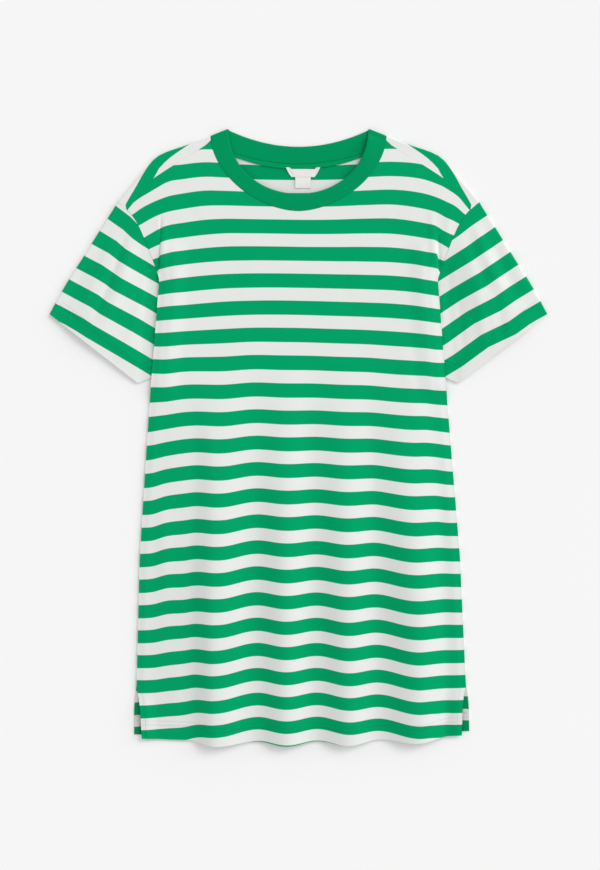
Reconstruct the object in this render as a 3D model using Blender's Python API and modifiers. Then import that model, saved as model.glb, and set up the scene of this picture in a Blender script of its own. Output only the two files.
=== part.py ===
"""A t-shirt dress of striped jersey, laid flat on its back with the front up.

Frame: +Z up, the neck towards +Y, the front facing +Z, and the origin on the surface below the middle of
the outline. Sizes are in millimetres, and finish() turns them into metres.
The pieces are those that are cut and sewn: a front, a back that passes forward over the shoulders, two
sleeves, a neckband, the tape over the back neck seam, the neck label and the size tab under it.
"""

import math

import bmesh
import bpy
import numpy as np
from mathutils import Vector

MM = 0.001
MIDDLE_Y = 1.53  # y of the outline's middle in the sizes below, which becomes y = 0

# Cloth
CLOTH = 1.2  # one layer of jersey
SEAM_GAP = 0.3  # between pieces that are sewn to each other, and between layers that lie on each other
BACK_MID = CLOTH / 2  # height of the middle of the lower layer
PRESSED_MID = BACK_MID + CLOTH + SEAM_GAP  # the upper layer where it lies on the lower one
FOLD_RADIUS = 1.4  # of a folded edge, to the middle of the cloth
FOLD_MID = BACK_MID + 2 * FOLD_RADIUS  # the upper layer where it leaves a folded edge
FOLD_INSET = FOLD_RADIUS + CLOTH / 2  # from the outline in to the start of a folded edge
LOFT = 1.8  # how much higher the upper layer lies inside than at its folded edges
LOFT_RUN = 45.0
SIDE_RUN = 40.0
SIDE_PRESS = 12.0  # distance from a side in which the layers come apart
PRESSED_RUN = 14.0  # how far from the underarm the layers stay pressed together
FOLD_STEPS = 4

# Body: half widths at heights along the dress. The front and the back part below the slits' tops.
HEM_Y = -437.0
SLIT_TOP_Y = -366.0
UNDERARM_Y = 230.2
BODY_SIDE = {  # y: half width
    SLIT_TOP_Y: 240.2,
    -178.0: 233.6,
    -95.0: 227.8,
    55.5: 216.7,
    137.0: 209.9,
    UNDERARM_Y: 202.8,
}
FRONT_SLIT_SIDE = {HEM_Y: 233.0, -400.0: 234.5, -380.0: 236.5}
BACK_SLIT_SIDE = {HEM_Y: 244.5, -400.0: 244.2, -380.0: 242.6}
SLIT_ROWS = (HEM_Y, -420.0, -400.0, -380.0, SLIT_TOP_Y)
BODY_ROWS = 16
FRONT_HEM_Y = -442.1  # at the centre line, between the folds
FRONT_HEM_RISE = 6.8  # at the corners
BACK_HEM_Y = -434.0
BACK_HEM_RISE = 4.0
SWAY = 4.8  # how far the hem lies to the right of the shoulders' centre line
SWAY_TILT = 2.4  # how much higher than its middle the hem then lies at its right end
SWAY_TOP_Y = 50.0
SWAY_GROWTH = 1.2  # power of the sway's growth towards the hem

# Long folds that grow towards the hem
#        crest x, left foot, right foot, height, lean of the crest at its top
FOLDS = (
    (-126.7, -163.0, -65.4, 12.0, 12.0),
    (-22.3, -65.4, 22.2, 10.5, 4.0),
    (67.5, 22.2, 114.2, 11.0, 0.0),
    (168.2, 114.2, 219.3, 12.0, -22.0),
)
FOLDS_TOP_Y = 150.0
FOLDS_FULL_Y = -290.0
FOLDS_GROWTH = 0.8  # power of the folds' growth from top to full
FOLDS_HOLLOW = 2.2  # how far the cloth sinks between the folds
SIDE_EASE = 0.07  # share of the width in which the folds fade out beside each side seam
CREST_LEAN = 0.5  # how far a crest slides towards the hem, for its height

# Shoulders and armholes, for the right half; x runs outwards from the centre line
SHOULDER_EDGE = ((263.8, 344.1), (223.8, 391.6), (202.2, 412.9), (161.3, 427.8), (128.9, 440.2))
FRONT_SHOULDER_SEAM = ((222.7, 364.3), (211.0, 378.4), (138.0, 424.9))  # between its two ends
ARMHOLE = ((263.8, 344.1), (245.6, 328.0), (232.4, 308.1), (219.0, 276.5), (206.0, 242.1), (202.8, 230.2))
SHOULDER_STRIP = 19.0  # width of the back that lies in front of the shoulder, at the armhole
YOKE_ROWS = 8
STRIP_ROWS = 2

# Columns of the front and the back, as shares of the width, from a side to the neck's corner
SHOULDER_SHARE = 0.155
SHOULDER_COLUMNS = (0.0, 0.005, 0.013, 0.026, 0.045, 0.07, 0.1, 0.128, SHOULDER_SHARE)
FRONT_NECK_SPANS = 26
BACK_NECK_SPANS = 12

# Sleeves, for the right half
SLEEVE_OUTER_EDGE = (
    (263.8, 344.1), (272.4, 330.0), (293.0, 297.8), (314.8, 262.8), (339.0, 224.8), (363.4, 181.0),
)
SLEEVE_HEM = ((363.4, 181.0), (233.9, 79.9), (217.5, 86.9), (207.0, 94.0))
SLEEVE_UNDERARM = (195.0, 216.0)  # under the body
SLEEVE_ROWS = 9
TUCK_RADIUS = (PRESSED_MID - BACK_MID) / 2
SLEEVE_CREASE = 2.6  # height of the soft ridge along each sleeve
SLEEVE_CREASE_SHARE = 0.42  # where it leaves the armhole, as a share of the seam
SLEEVE_CREASE_DRIFT = 0.1  # how much nearer the outer edge it ends
SLEEVE_CREASE_WIDTH = 0.3
SLEEVE_CREASE_START = 0.4  # share of the sleeve's length in which it rises

# The body lies over the inner edge of each sleeve
LIFT = 2 * (CLOTH + SEAM_GAP)
LIFT_TOP_Y = (300.0, 258.0)  # where it starts and where it is full
LIFT_FOOT_Y = (48.0, 80.0)
LIFT_CREASE = ((305.0, 198.0), (245.0, 205.0))  # (y, x) of the crease between the armhole and the body
LIFT_STEP = 6.0
LIFT_INNER = (19.0, 45.0)  # distances in from the side where it is full and where it has ended

# Neckband: each edge is half width, y of its ends, depth at the centre, and two powers for its roundness
BAND_THICKNESS = 2.2
BAND_MID = BAND_THICKNESS / 2
BAND_FOLD_RADIUS = 1.3
BAND_SECTION = 12
BAND_BROADNESS = 0.3  # powers that make the band's section broad and flat with rounded edges
BAND_FLATNESS = 0.6
NECK_SEAM_FRONT = (128.0, 438.3, 108.0, 1.78, 1 / 1.78)
NECK_SEAM_BACK = (128.0, 438.3, 39.4, 1.72, 1 / 1.72)
NECK_FREE_FRONT = (101.5, 448.9, 93.1, 2.05, 1 / 2.05)
NECK_FREE_BACK = (101.5, 448.9, 23.8, 2.0, 1.0)
NECK_STRIP_ANGLE = 0.0603  # where the shoulder seam meets the neck seam, from the neck's corner

# Tape, label and size tab, inside the back neck
TRIM = 1.0  # thickness of each
TRIM_MID = CLOTH + SEAM_GAP + TRIM / 2
TAPE_WIDTH = 6.6
TAPE_ANGLE = 0.72  # where each end of the tape lies, from the neck's corner, under the front of the neckband
LABEL_X = 6.6
LABEL_TOP = 50.4
LABEL_BOTTOM = 33.6
LABEL_HEIGHT = 11.5
TAB_WIDTH = 22.6
TAB_HEIGHT = 16.0


def smooth(value):
    """Eases from 0 to 1 as value goes from 0 to 1."""
    value = min(max(value, 0.0), 1.0)
    return value * value * (3 - 2 * value)


def lerp(start, end, share):
    return start + (end - start) * share


def read(table, y):
    """The value of a {y: value} table at any y."""
    rows = sorted(table.items())
    return float(np.interp(y, [row[0] for row in rows], [row[1] for row in rows]))


class Path:
    """A curve through (x, y) points, read by its share of length; smooth unless corners is set."""

    def __init__(self, points, corners=False, steps=10):
        knots = [Vector(point) for point in points]
        self.points = [knots[0]]
        for i in range(len(knots) - 1):
            before, start, end = knots[max(i - 1, 0)], knots[i], knots[i + 1]
            after = knots[min(i + 2, len(knots) - 1)]
            for step in range(1, steps + 1):
                t = step / steps
                if corners:
                    self.points.append(start.lerp(end, t))
                    continue
                bend = (2 * before - 5 * start + 4 * end - after) * t**2
                turn = (3 * start - before - 3 * end + after) * t**3
                self.points.append((2 * start + (end - before) * t + bend + turn) / 2)
        self.lengths = [0.0]
        for start, end in zip(self.points, self.points[1:]):
            self.lengths.append(self.lengths[-1] + (end - start).length)
        self.length = self.lengths[-1]

    def at(self, share):
        wanted = min(max(share, 0.0), 1.0) * self.length
        x = np.interp(wanted, self.lengths, [point.x for point in self.points])
        y = np.interp(wanted, self.lengths, [point.y for point in self.points])
        return Vector((float(x), float(y)))

    def right_of(self, share):
        """The unit vector to the right of the curve's direction."""
        along = (self.at(share + 0.01) - self.at(share - 0.01)).normalized()
        return Vector((along.y, -along.x))

    def distance(self, point):
        nearest = math.inf
        for start, end in zip(self.points, self.points[1:]):
            span = end - start
            share = min(max((point - start).dot(span) / span.length_squared, 0.0), 1.0)
            nearest = min(nearest, (point - start - span * share).length)
        return nearest


SHOULDER = Path(SHOULDER_EDGE)
ARM = Path(ARMHOLE)
STRIP_SHARE = SHOULDER_STRIP / ARM.length
FOLD_SHARE = FOLD_INSET / ARM.length


def mirrored(point, side):
    return Vector((point.x * side, point.y))


def half_width(y, slit_side):
    return read({**slit_side, **BODY_SIDE}, y)


def folds(x, y):
    """At a point of the front: how far the folds have grown, from 0 to 1, and their height."""
    grown = smooth((FOLDS_TOP_Y - y) / (FOLDS_TOP_Y - FOLDS_FULL_Y)) ** FOLDS_GROWTH
    total = 0.0
    for crest, left_foot, right_foot, height, lean in FOLDS:
        away = x - crest - lean * (1 - grown)
        reach = crest - left_foot if away < 0 else right_foot - crest
        total += height * 0.5 * (1 + math.cos(math.pi * min(abs(away) / reach, 1.0)))
    return grown, total * grown


def upper_mid(point, slit_side=None):
    """Height of the upper layer's middle: low at the sides, where layers press together, higher inside.

    slit_side is given inside the body, and left out on a sleeve, which lies outside the body's side.
    """
    away = abs(point.x) - half_width(min(point.y, UNDERARM_Y), slit_side or FRONT_SLIT_SIDE)
    beside = -away if slit_side else away - PRESSED_RUN
    from_side = math.hypot(max(beside, 0.0), max(point.y - UNDERARM_Y - PRESSED_RUN, 0.0))
    upright = Vector((abs(point.x), point.y))
    from_fold = min(SHOULDER.distance(upright), OUTER_ARM.distance(upright), NECK_FOLD.distance(upright))
    height = lerp(PRESSED_MID, FOLD_MID, smooth(from_side / SIDE_PRESS))
    return height + LOFT * smooth((from_fold - FOLD_INSET) / LOFT_RUN) * smooth(from_side / SIDE_RUN)


def lift(point):
    """How far the body lies higher over a sleeve's inner edge."""
    x, y = abs(point.x), point.y
    along = smooth((LIFT_TOP_Y[0] - y) / (LIFT_TOP_Y[0] - LIFT_TOP_Y[1]))
    along *= smooth((y - LIFT_FOOT_Y[0]) / (LIFT_FOOT_Y[1] - LIFT_FOOT_Y[0]))
    (top_y, top_x), (low_y, low_x) = LIFT_CREASE
    crease_x = lerp(top_x, low_x, (top_y - y) / (top_y - low_y))
    outer = 1 - smooth((x - crease_x) / LIFT_STEP)
    inside = half_width(min(y, UNDERARM_Y), FRONT_SLIT_SIDE) - x
    inner = 1 - smooth((inside - LIFT_INNER[0]) / (LIFT_INNER[1] - LIFT_INNER[0]))
    return LIFT * along * outer * inner


def sway(point):
    """Shifts and tilts the lower body a little to one side."""
    share = max((SWAY_TOP_Y - point.y) / (SWAY_TOP_Y - HEM_Y), 0.0)
    tilt = SWAY_TILT * share * point.x / FRONT_SLIT_SIDE[HEM_Y]
    return Vector((point.x + SWAY * share**SWAY_GROWTH, point.y + tilt))


def neck_point(edge, angle, down=0.0):
    """A point of a neck edge, moved down from the neck: angle 0 is its right end and pi its left end."""
    width, top, depth, inner_power, outer_power = edge

    def plain(at):
        x = math.cos(at)
        return Vector((width * x, top - depth * max(1 - abs(x) ** inner_power, 0.0) ** outer_power))

    point = plain(angle)
    if down:
        along = plain(min(angle + 0.02, math.pi)) - plain(max(angle - 0.02, 0.0))
        point += down * Vector((-along.y, along.x)).normalized()
    return point


def coons(bottom, top, left, right, u, v):
    """A point of the patch between four edges, each a function of a share from 0 to 1."""
    across = lerp(bottom(u), top(u), v) + lerp(left(v), right(v), u)
    corners = lerp(lerp(bottom(0), bottom(1), u), lerp(top(0), top(1), u), v)
    return across - corners


def arm_point(share, outwards):
    """A point of the right armhole seam, moved outwards by part of the seam's gap."""
    return ARM.at(share) - ARM.right_of(share) * outwards


NECK_CORNERS = [neck_point(edge, 0.0) for edge in (NECK_SEAM_FRONT, NECK_FREE_FRONT)]
NECK_FOLD = Path([(point.x, point.y) for point in NECK_CORNERS], corners=True)
OUTER_ARM = Path(SLEEVE_OUTER_EDGE)
FRONT_SEAM = Path(  # in front of the right shoulder, from the armhole to the neck
    (
        tuple(arm_point(STRIP_SHARE, -SEAM_GAP / 2)),
        *FRONT_SHOULDER_SEAM,
        tuple(neck_point(NECK_SEAM_FRONT, NECK_STRIP_ANGLE, SEAM_GAP / 2)),
    )
)


def principled(name, colour, roughness):
    material = bpy.data.materials.new(name)
    material.use_nodes = True
    shader = material.node_tree.nodes["Principled BSDF"]
    shader.inputs["Base Color"].default_value = (*colour, 1.0)
    shader.inputs["Roughness"].default_value = roughness
    shader.inputs["Metallic"].default_value = 0.0
    material.diffuse_color = (*colour, 1.0)
    return material


def finish(name, bm, collection, material, thickness=None):
    """Makes an object of a mesh in millimetres; a thickness turns the open surface into a wall round it."""
    bmesh.ops.translate(bm, vec=(0.0, -MIDDLE_Y, 0.0), verts=bm.verts)
    bmesh.ops.scale(bm, vec=(MM, MM, MM), verts=bm.verts)
    mesh = bpy.data.meshes.new(name)
    bm.to_mesh(mesh)
    bm.free()
    mesh.shade_smooth()
    mesh.materials.append(material)
    piece = bpy.data.objects.new(name, mesh)
    collection.objects.link(piece)
    if thickness:
        wall = piece.modifiers.new("Wall", "SOLIDIFY")
        wall.thickness = thickness * MM
        wall.offset = 0.0
    return piece


def cloth(columns, rows, place, absent=None):
    """A grid with a point at place(column, row) for each pair, without the cells where absent() says so."""
    bm = bmesh.new()
    across, along = len(columns) - 1, len(rows) - 1
    bmesh.ops.create_grid(bm, x_segments=across, y_segments=along, size=0.5)
    if absent:
        gone = []
        for face in bm.faces:
            middle = face.calc_center_median()
            cell = int((middle.x + 0.5) * across), int((middle.y + 0.5) * along)
            if absent(columns[cell[0]], rows[cell[1]]):
                gone.append(face)
        bmesh.ops.delete(bm, geom=gone, context="FACES")
    for vert in bm.verts:
        column, row = round((vert.co.x + 0.5) * across), round((vert.co.y + 0.5) * along)
        vert.co = place(columns[column], rows[row])
    return bm


def both_sides(neck_spans):
    """Columns from the left side to the right, with even spans along the neck."""
    neck = [lerp(SHOULDER_SHARE, 1 - SHOULDER_SHARE, i / neck_spans) for i in range(1, neck_spans)]
    return [*SHOULDER_COLUMNS, *neck, *(1 - share for share in reversed(SHOULDER_COLUMNS))]


def body_rows():
    """Row values from 0 at the hem to 1 at the underarm, then 2 at the shoulder."""
    slit = [(y - HEM_Y) / (UNDERARM_Y - HEM_Y) for y in SLIT_ROWS]
    body = [lerp(slit[-1], 1.0, i / BODY_ROWS) for i in range(1, BODY_ROWS + 1)]
    return [*slit, *body, *(1 + i / YOKE_ROWS for i in range(1, YOKE_ROWS + 1))]


def body_point(u, row, slit_side, hem_y, hem_rise):
    """A point below the underarm, before the lower body's sway."""
    side_y = lerp(HEM_Y, UNDERARM_Y, row)
    x = half_width(side_y, slit_side) * (2 * u - 1)
    hem = hem_y + hem_rise * (2 * u - 1) ** 2
    return Vector((x, lerp(hem, UNDERARM_Y, row)))


def yoke_point(u, row, top, last_share):
    """A point between the underarms and the shoulders; last_share is where the armhole edge ends."""

    def armhole(side):
        return lambda v: mirrored(arm_point(lerp(1.0, last_share, v), -SEAM_GAP / 2), side)

    left, right = armhole(-1), armhole(1)
    return coons(lambda share: lerp(left(0), right(0), share), top, left, right, u, row - 1)


def shoulder_or_neck(u, shoulder, neck):
    """Reads the right shoulder's curve, its mirror image, or the neck's, by the column's share."""
    if u <= SHOULDER_SHARE:
        return mirrored(shoulder(u / SHOULDER_SHARE), -1)
    if u >= 1 - SHOULDER_SHARE:
        return shoulder((1 - u) / SHOULDER_SHARE)
    return neck((u - SHOULDER_SHARE) / (1 - 2 * SHOULDER_SHARE))


def front_top(u):
    def neck(share):
        angle = lerp(math.pi - NECK_STRIP_ANGLE, NECK_STRIP_ANGLE, share)
        return neck_point(NECK_SEAM_FRONT, angle, SEAM_GAP / 2)

    return shoulder_or_neck(u, FRONT_SEAM.at, neck)


def front_place(u, row):
    if row <= 1:
        flat = body_point(u, row, FRONT_SLIT_SIDE, FRONT_HEM_Y, FRONT_HEM_RISE)
    else:
        flat = yoke_point(u, row, front_top, STRIP_SHARE)
    grown, wave = folds(flat.x, flat.y)
    inside = smooth((0.5 - abs(u - 0.5)) / SIDE_EASE)
    height = upper_mid(flat, FRONT_SLIT_SIDE) + (wave - FOLDS_HOLLOW * grown) * inside + lift(flat)
    lying = sway(Vector((flat.x, flat.y - CREST_LEAN * wave * inside)))
    return Vector((lying.x, lying.y, height))


def shoulder_fold(share):
    """Start of the fold over the right shoulder, from the armhole to the neck."""
    at = lerp(SEAM_GAP / 2 / SHOULDER.length, 1.0, share)
    return SHOULDER.at(at) - SHOULDER.right_of(at) * FOLD_INSET


def back_top(u):
    def neck(share):
        return neck_point(NECK_SEAM_BACK, lerp(math.pi, 0.0, share), SEAM_GAP / 2)

    return shoulder_or_neck(u, shoulder_fold, neck)


def back_strip_place(u, row):
    """The back beyond its shoulder line: round the fold for rows 2 to 3, then in front of it to row 4."""
    side = -1 if u < 0.5 else 1
    share = min(u, 1 - u) / SHOULDER_SHARE
    start = shoulder_fold(share)
    angle = math.pi * (min(row, 3) - 2)
    round_fold = start + SHOULDER.right_of(share) * FOLD_RADIUS * math.sin(angle)
    if row <= 3:
        flat = mirrored(round_fold, side)
        return Vector((flat.x, flat.y, BACK_MID + FOLD_RADIUS * (1 - math.cos(angle))))
    seam = FRONT_SEAM.at(share)
    seam += (start - seam).normalized() * SEAM_GAP
    flat = mirrored(lerp(start, seam, row - 3), side)
    return Vector((flat.x, flat.y, upper_mid(flat, FRONT_SLIT_SIDE)))


def back_place(u, row):
    if row > 2:
        return back_strip_place(u, row)
    if row <= 1:
        flat = body_point(u, row, BACK_SLIT_SIDE, BACK_HEM_Y, BACK_HEM_RISE)
    else:
        flat = yoke_point(u, row, back_top, FOLD_SHARE)
    lying = sway(flat)
    return Vector((lying.x, lying.y, BACK_MID + lift(flat)))


class Sleeve:
    """A flattened tube between the armhole and the sleeve's hem, for one side (-1 left, 1 right)."""

    def __init__(self, side):
        self.side = side
        tuck = Vector(SLEEVE_UNDERARM)
        self.underarm = Path([tuple(arm_point(1.0, SEAM_GAP / 2)), tuple(tuck)], corners=True)
        self.hem = Path(SLEEVE_HEM, corners=True)
        self.inner = Path([SLEEVE_UNDERARM, SLEEVE_HEM[-1]], corners=True)
        self.seam_length = ARM.length + self.underarm.length
        self.tuck_inset = TUCK_RADIUS + CLOTH / 2

    def seam(self, share):
        """The armhole seam, from the shoulder to the point under the body."""
        wanted = share * self.seam_length
        if wanted <= ARM.length:
            return arm_point(wanted / ARM.length, SEAM_GAP / 2)
        return self.underarm.at((wanted - ARM.length) / self.underarm.length)

    def flat(self, across, along):
        point = coons(self.seam, self.hem.at, self.outer, self.inner.at, across, along)
        return mirrored(point, self.side)

    def outer(self, share):
        start, end = self.seam(0.0), self.hem.at(0.0)
        bow = OUTER_ARM.at(share) - OUTER_ARM.at(0.0).lerp(OUTER_ARM.at(1.0), share)
        return start.lerp(end, share) + bow

    def ring(self):
        """The tube's stations, as (share of the seam, angle): pi in front, 0 behind, between in the folds."""
        first, last = FOLD_INSET / self.seam_length, 1 - self.tuck_inset / self.seam_length
        seam_share = ARM.length / self.seam_length
        front = [lerp(STRIP_SHARE, 1.0, i / YOKE_ROWS) * seam_share for i in range(YOKE_ROWS + 1)]
        back = [lerp(FOLD_SHARE, 1.0, i / YOKE_ROWS) * seam_share for i in range(YOKE_ROWS + 1)]
        turn = [math.pi * i / FOLD_STEPS for i in range(1, FOLD_STEPS)]
        stations = [(share, math.pi) for share in (first, *front, last)]
        stations += [(last, angle) for angle in reversed(turn)]
        stations += [(share, 0.0) for share in (last, *reversed(back))]
        stations += [(first, angle) for angle in turn]
        return [*stations, stations[0]]

    def place(self, station, along):
        share, angle = station
        width = (self.flat(1.0, along) - self.flat(0.0, along)).length
        insets = FOLD_INSET / self.seam_length, self.tuck_inset / self.seam_length
        inner_share = (share - insets[0]) / (1 - insets[0] - insets[1])
        at = lerp(FOLD_INSET / width, 1 - self.tuck_inset / width, inner_share) if along > 0 else share
        flat = self.flat(at, along)
        away = self.flat(at - 0.005, along) - self.flat(at + 0.005, along)
        away.normalize()
        if share > 0.5:
            away.negate()
        middle = SLEEVE_CREASE_SHARE - SLEEVE_CREASE_DRIFT * along
        ridge = SLEEVE_CREASE * smooth(1 - abs(share - middle) / SLEEVE_CREASE_WIDTH)
        top = upper_mid(flat) + ridge * smooth(along / SLEEVE_CREASE_START)
        radius = (top - BACK_MID) / 2
        flat += away * radius * math.sin(angle)
        return Vector((flat.x, flat.y, BACK_MID + radius * (1 - math.cos(angle))))

    def build(self):
        ring = self.ring()
        rows = [i / SLEEVE_ROWS for i in range(SLEEVE_ROWS + 1)]
        bm = cloth(range(len(ring)), rows, lambda column, row: self.place(ring[column], row))
        bmesh.ops.remove_doubles(bm, verts=bm.verts, dist=0.001)
        return bm


def band_stations():
    """Stations of the neckband's ring, as (neck angle, fold angle): pi in front and 0 behind."""
    last = math.pi - NECK_STRIP_ANGLE
    front = [lerp(NECK_STRIP_ANGLE, last, i / FRONT_NECK_SPANS) for i in range(FRONT_NECK_SPANS + 1)]
    back = [math.pi * i / BACK_NECK_SPANS for i in range(BACK_NECK_SPANS + 1)]
    turn = [math.pi * i / FOLD_STEPS for i in range(1, FOLD_STEPS)]
    stations = [(angle, math.pi) for angle in (0.0, *front, math.pi)]
    stations += [(math.pi, angle) for angle in reversed(turn)]
    stations += [(angle, 0.0) for angle in reversed(back)]
    stations += [(0.0, angle) for angle in turn]
    return stations


def band_place(station, around):
    """A point of the band's rounded section, which runs from the neck seam to the free edge."""
    angle, fold = station
    front = fold > 0
    seam = neck_point(NECK_SEAM_FRONT if front else NECK_SEAM_BACK, angle, -SEAM_GAP / 2)
    free = neck_point(NECK_FREE_FRONT if front else NECK_FREE_BACK, angle)
    across = math.copysign(abs(math.cos(around)) ** BAND_BROADNESS, math.cos(around))
    thickness = BAND_MID * math.copysign(abs(math.sin(around)) ** BAND_FLATNESS, math.sin(around))
    flat = seam.lerp(free, 0.5 - 0.5 * across)
    along = (free - seam).normalized()
    side = 1 if angle < math.pi / 2 else -1
    out = Vector((along.y, -along.x)) * side
    height = BAND_MID
    if fold == math.pi:
        height = upper_mid(flat, FRONT_SLIT_SIDE) + BAND_MID + 2 * BAND_FOLD_RADIUS - FOLD_MID
    elif fold > 0:
        height += BAND_FOLD_RADIUS * (1 - math.cos(fold))
    flat += out * math.sin(fold) * (BAND_FOLD_RADIUS + thickness)
    return Vector((flat.x, flat.y, height - math.cos(fold) * thickness))


def neckband():
    """A torus whose rings become the band's sections, from station to station."""
    stations = band_stations()
    bpy.ops.mesh.primitive_torus_add(
        major_segments=len(stations), minor_segments=BAND_SECTION, major_radius=1.0, minor_radius=0.25
    )
    ring = bpy.context.object
    bm = bmesh.new()
    bm.from_mesh(ring.data)
    bpy.data.meshes.remove(ring.data)
    for vert in bm.verts:
        turn = math.atan2(vert.co.y, vert.co.x) % (2 * math.pi)
        station = round(turn / (2 * math.pi) * len(stations)) % len(stations)
        around = math.atan2(vert.co.z, math.hypot(vert.co.x, vert.co.y) - 1.0)
        vert.co = band_place(stations[station], around)
    if bm.calc_volume(signed=True) < 0:
        bmesh.ops.reverse_faces(bm, faces=bm.faces)
    return bm


def tape_place(share, width_share):
    angle = lerp(math.pi - TAPE_ANGLE, TAPE_ANGLE, share)
    flat = neck_point(NECK_SEAM_BACK, angle, SEAM_GAP / 2 + TAPE_WIDTH * width_share)
    return Vector((flat.x, flat.y, TRIM_MID))


def tape_foot():
    return neck_point(NECK_SEAM_BACK, math.pi / 2).y - SEAM_GAP / 2 - TAPE_WIDTH


def label_place(share, down):
    width = lerp(LABEL_TOP, LABEL_BOTTOM, down)
    y = tape_foot() - SEAM_GAP - LABEL_HEIGHT * down
    return Vector((LABEL_X + width * (share - 0.5), y, TRIM_MID))


def tab_place(share, down):
    y = tape_foot() - 2 * SEAM_GAP - LABEL_HEIGHT - TAB_HEIGHT * down
    return Vector((LABEL_X + TAB_WIDTH * (share - 0.5), y, TRIM_MID))


def spans(count):
    return [i / count for i in range(count + 1)]


def main():
    for obj in list(bpy.data.objects):
        bpy.data.objects.remove(obj)
    dress = bpy.data.collections.new("tshirt_dress")
    bpy.context.scene.collection.children.link(dress)

    jersey = principled("striped_jersey", (0.35, 0.60, 0.42), 0.85)
    rib = principled("green_rib", (0.0, 0.30, 0.10), 0.85)
    tape = principled("green_tape", (0.02, 0.36, 0.14), 0.8)
    woven = principled("woven_label", (0.86, 0.86, 0.85), 0.7)

    rows = body_rows()
    fold_rows = [2 + i / FOLD_STEPS for i in range(1, FOLD_STEPS + 1)]
    strip_rows = [3 + i / STRIP_ROWS for i in range(1, STRIP_ROWS + 1)]

    finish("front_panel", cloth(both_sides(FRONT_NECK_SPANS), rows, front_place), dress, jersey, CLOTH)
    back = cloth(
        both_sides(BACK_NECK_SPANS),
        [*rows, *fold_rows, *strip_rows],
        back_place,
        absent=lambda u, row: row >= 2 and SHOULDER_SHARE <= u < 1 - SHOULDER_SHARE,
    )
    finish("back_panel", back, dress, jersey, CLOTH)
    finish("sleeve_left", Sleeve(-1).build(), dress, jersey, CLOTH)
    finish("sleeve_right", Sleeve(1).build(), dress, jersey, CLOTH)
    finish("neckband", neckband(), dress, rib)
    finish("neck_tape", cloth(spans(BACK_NECK_SPANS), spans(1), tape_place), dress, tape, TRIM)
    finish("neck_label", cloth(spans(4), spans(1), label_place), dress, woven, TRIM)
    finish("size_tab", cloth(spans(2), spans(1), tab_place), dress, woven, TRIM)


if __name__ == "__main__":
    main()
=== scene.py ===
"""Looks of a t-shirt dress of striped jersey, laid flat on its back with the front up.

The frame is the solids' own: +Z up, the neck towards +Y, the origin on the surface below the outline's
middle. Sizes are in millimetres until Piece.place turns them into metres. Each piece of cloth is a thin
shell on the form of its solid, with finer creases, stripes that follow the cloth, seams and stitches.
"""

from __future__ import annotations

import logging
import math
from abc import ABC, abstractmethod
from collections.abc import Callable
from dataclasses import dataclass, field
from enum import Enum

import bpy
import numpy as np
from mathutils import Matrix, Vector


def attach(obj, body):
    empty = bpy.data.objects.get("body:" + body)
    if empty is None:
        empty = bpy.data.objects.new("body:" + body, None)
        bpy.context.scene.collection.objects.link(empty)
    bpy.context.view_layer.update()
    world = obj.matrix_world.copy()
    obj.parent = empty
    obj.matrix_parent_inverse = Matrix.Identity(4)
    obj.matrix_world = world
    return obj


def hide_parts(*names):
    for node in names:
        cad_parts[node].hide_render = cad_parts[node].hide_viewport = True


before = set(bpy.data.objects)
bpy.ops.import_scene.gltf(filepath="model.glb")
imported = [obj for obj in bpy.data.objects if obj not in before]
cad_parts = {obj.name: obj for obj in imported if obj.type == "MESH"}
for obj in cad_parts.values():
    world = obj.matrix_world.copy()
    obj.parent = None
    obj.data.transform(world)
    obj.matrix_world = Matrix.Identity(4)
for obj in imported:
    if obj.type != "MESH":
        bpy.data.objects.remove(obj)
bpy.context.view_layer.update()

LOG = logging.getLogger("t_shirt_dress")
MM = 0.001
NEARLY = 1e-6
HEM_ROWS = (20.2, 26.2)  # a hem's twin rows of stitches, measured from its edge
Array = np.ndarray
Table = tuple[tuple[float, float], ...]
Edge = Callable[[Array], Array]
Surface = Callable[[Array, Array], Array]


class Side(Enum):
    """The side of the dress that a piece belongs to, as seen from above."""

    LEFT = -1
    RIGHT = 1


def smooth(value: Array) -> Array:
    """Ease from 0 to 1 as value goes from 0 to 1."""
    value = np.clip(value, 0.0, 1.0)
    return value * value * (3 - 2 * value)


def lerp(start: Array, end: Array, share: Array) -> Array:
    """Go from start to end by a share."""
    return start + (end - start) * share


def between(start: Array, end: Array, share: Array) -> Array:
    """Go from start points to end points by a share for each."""
    return start + (end - start) * share[..., None]


def read(table: Table, at: Array) -> Array:
    """Read a table of (place, value) pairs at any place."""
    rows = np.array(sorted(table))
    return np.interp(at, rows[:, 0], rows[:, 1])


def flowing(places: Array, values: Array, at: Array) -> Array:
    """Read values between places along a smooth curve.

    Args:
        places: Rising places of the known values.
        values: One value for each place, or one row of values for each place and a column for each reading.
        at: Where it is read.

    Returns:
        The values there; past the ends they stay as at the ends.
    """
    places, values = np.asarray(places, float), np.asarray(values, float)
    slopes = np.gradient(values, places, axis=0)
    i = np.clip(np.searchsorted(places, at) - 1, 0, len(places) - 2)
    span = places[i + 1] - places[i]
    t = np.clip((at - places[i]) / span, 0.0, 1.0)

    def pick(table: Array, step: int) -> Array:
        """Take the entries at each span's start, or one step on."""
        return table[i + step] if table.ndim == 1 else np.take_along_axis(table, (i + step)[None], 0)[0]

    start = pick(values, 0) * (2 * t**3 - 3 * t**2 + 1) + pick(slopes, 0) * span * (t**3 - 2 * t**2 + t)
    return start + pick(values, 1) * (3 * t**2 - 2 * t**3) + pick(slopes, 1) * span * (t**3 - t**2)


def mirrored(points: Array, side: float) -> Array:
    """Turn points of the right half to a side."""
    return points * np.array((side, 1.0))


def across_unit(along: Array) -> Array:
    """Give the unit vectors to the left of the directions along."""
    turned = np.stack([-along[..., 1], along[..., 0]], axis=-1)
    return turned / np.linalg.norm(turned, axis=-1, keepdims=True)


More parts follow.
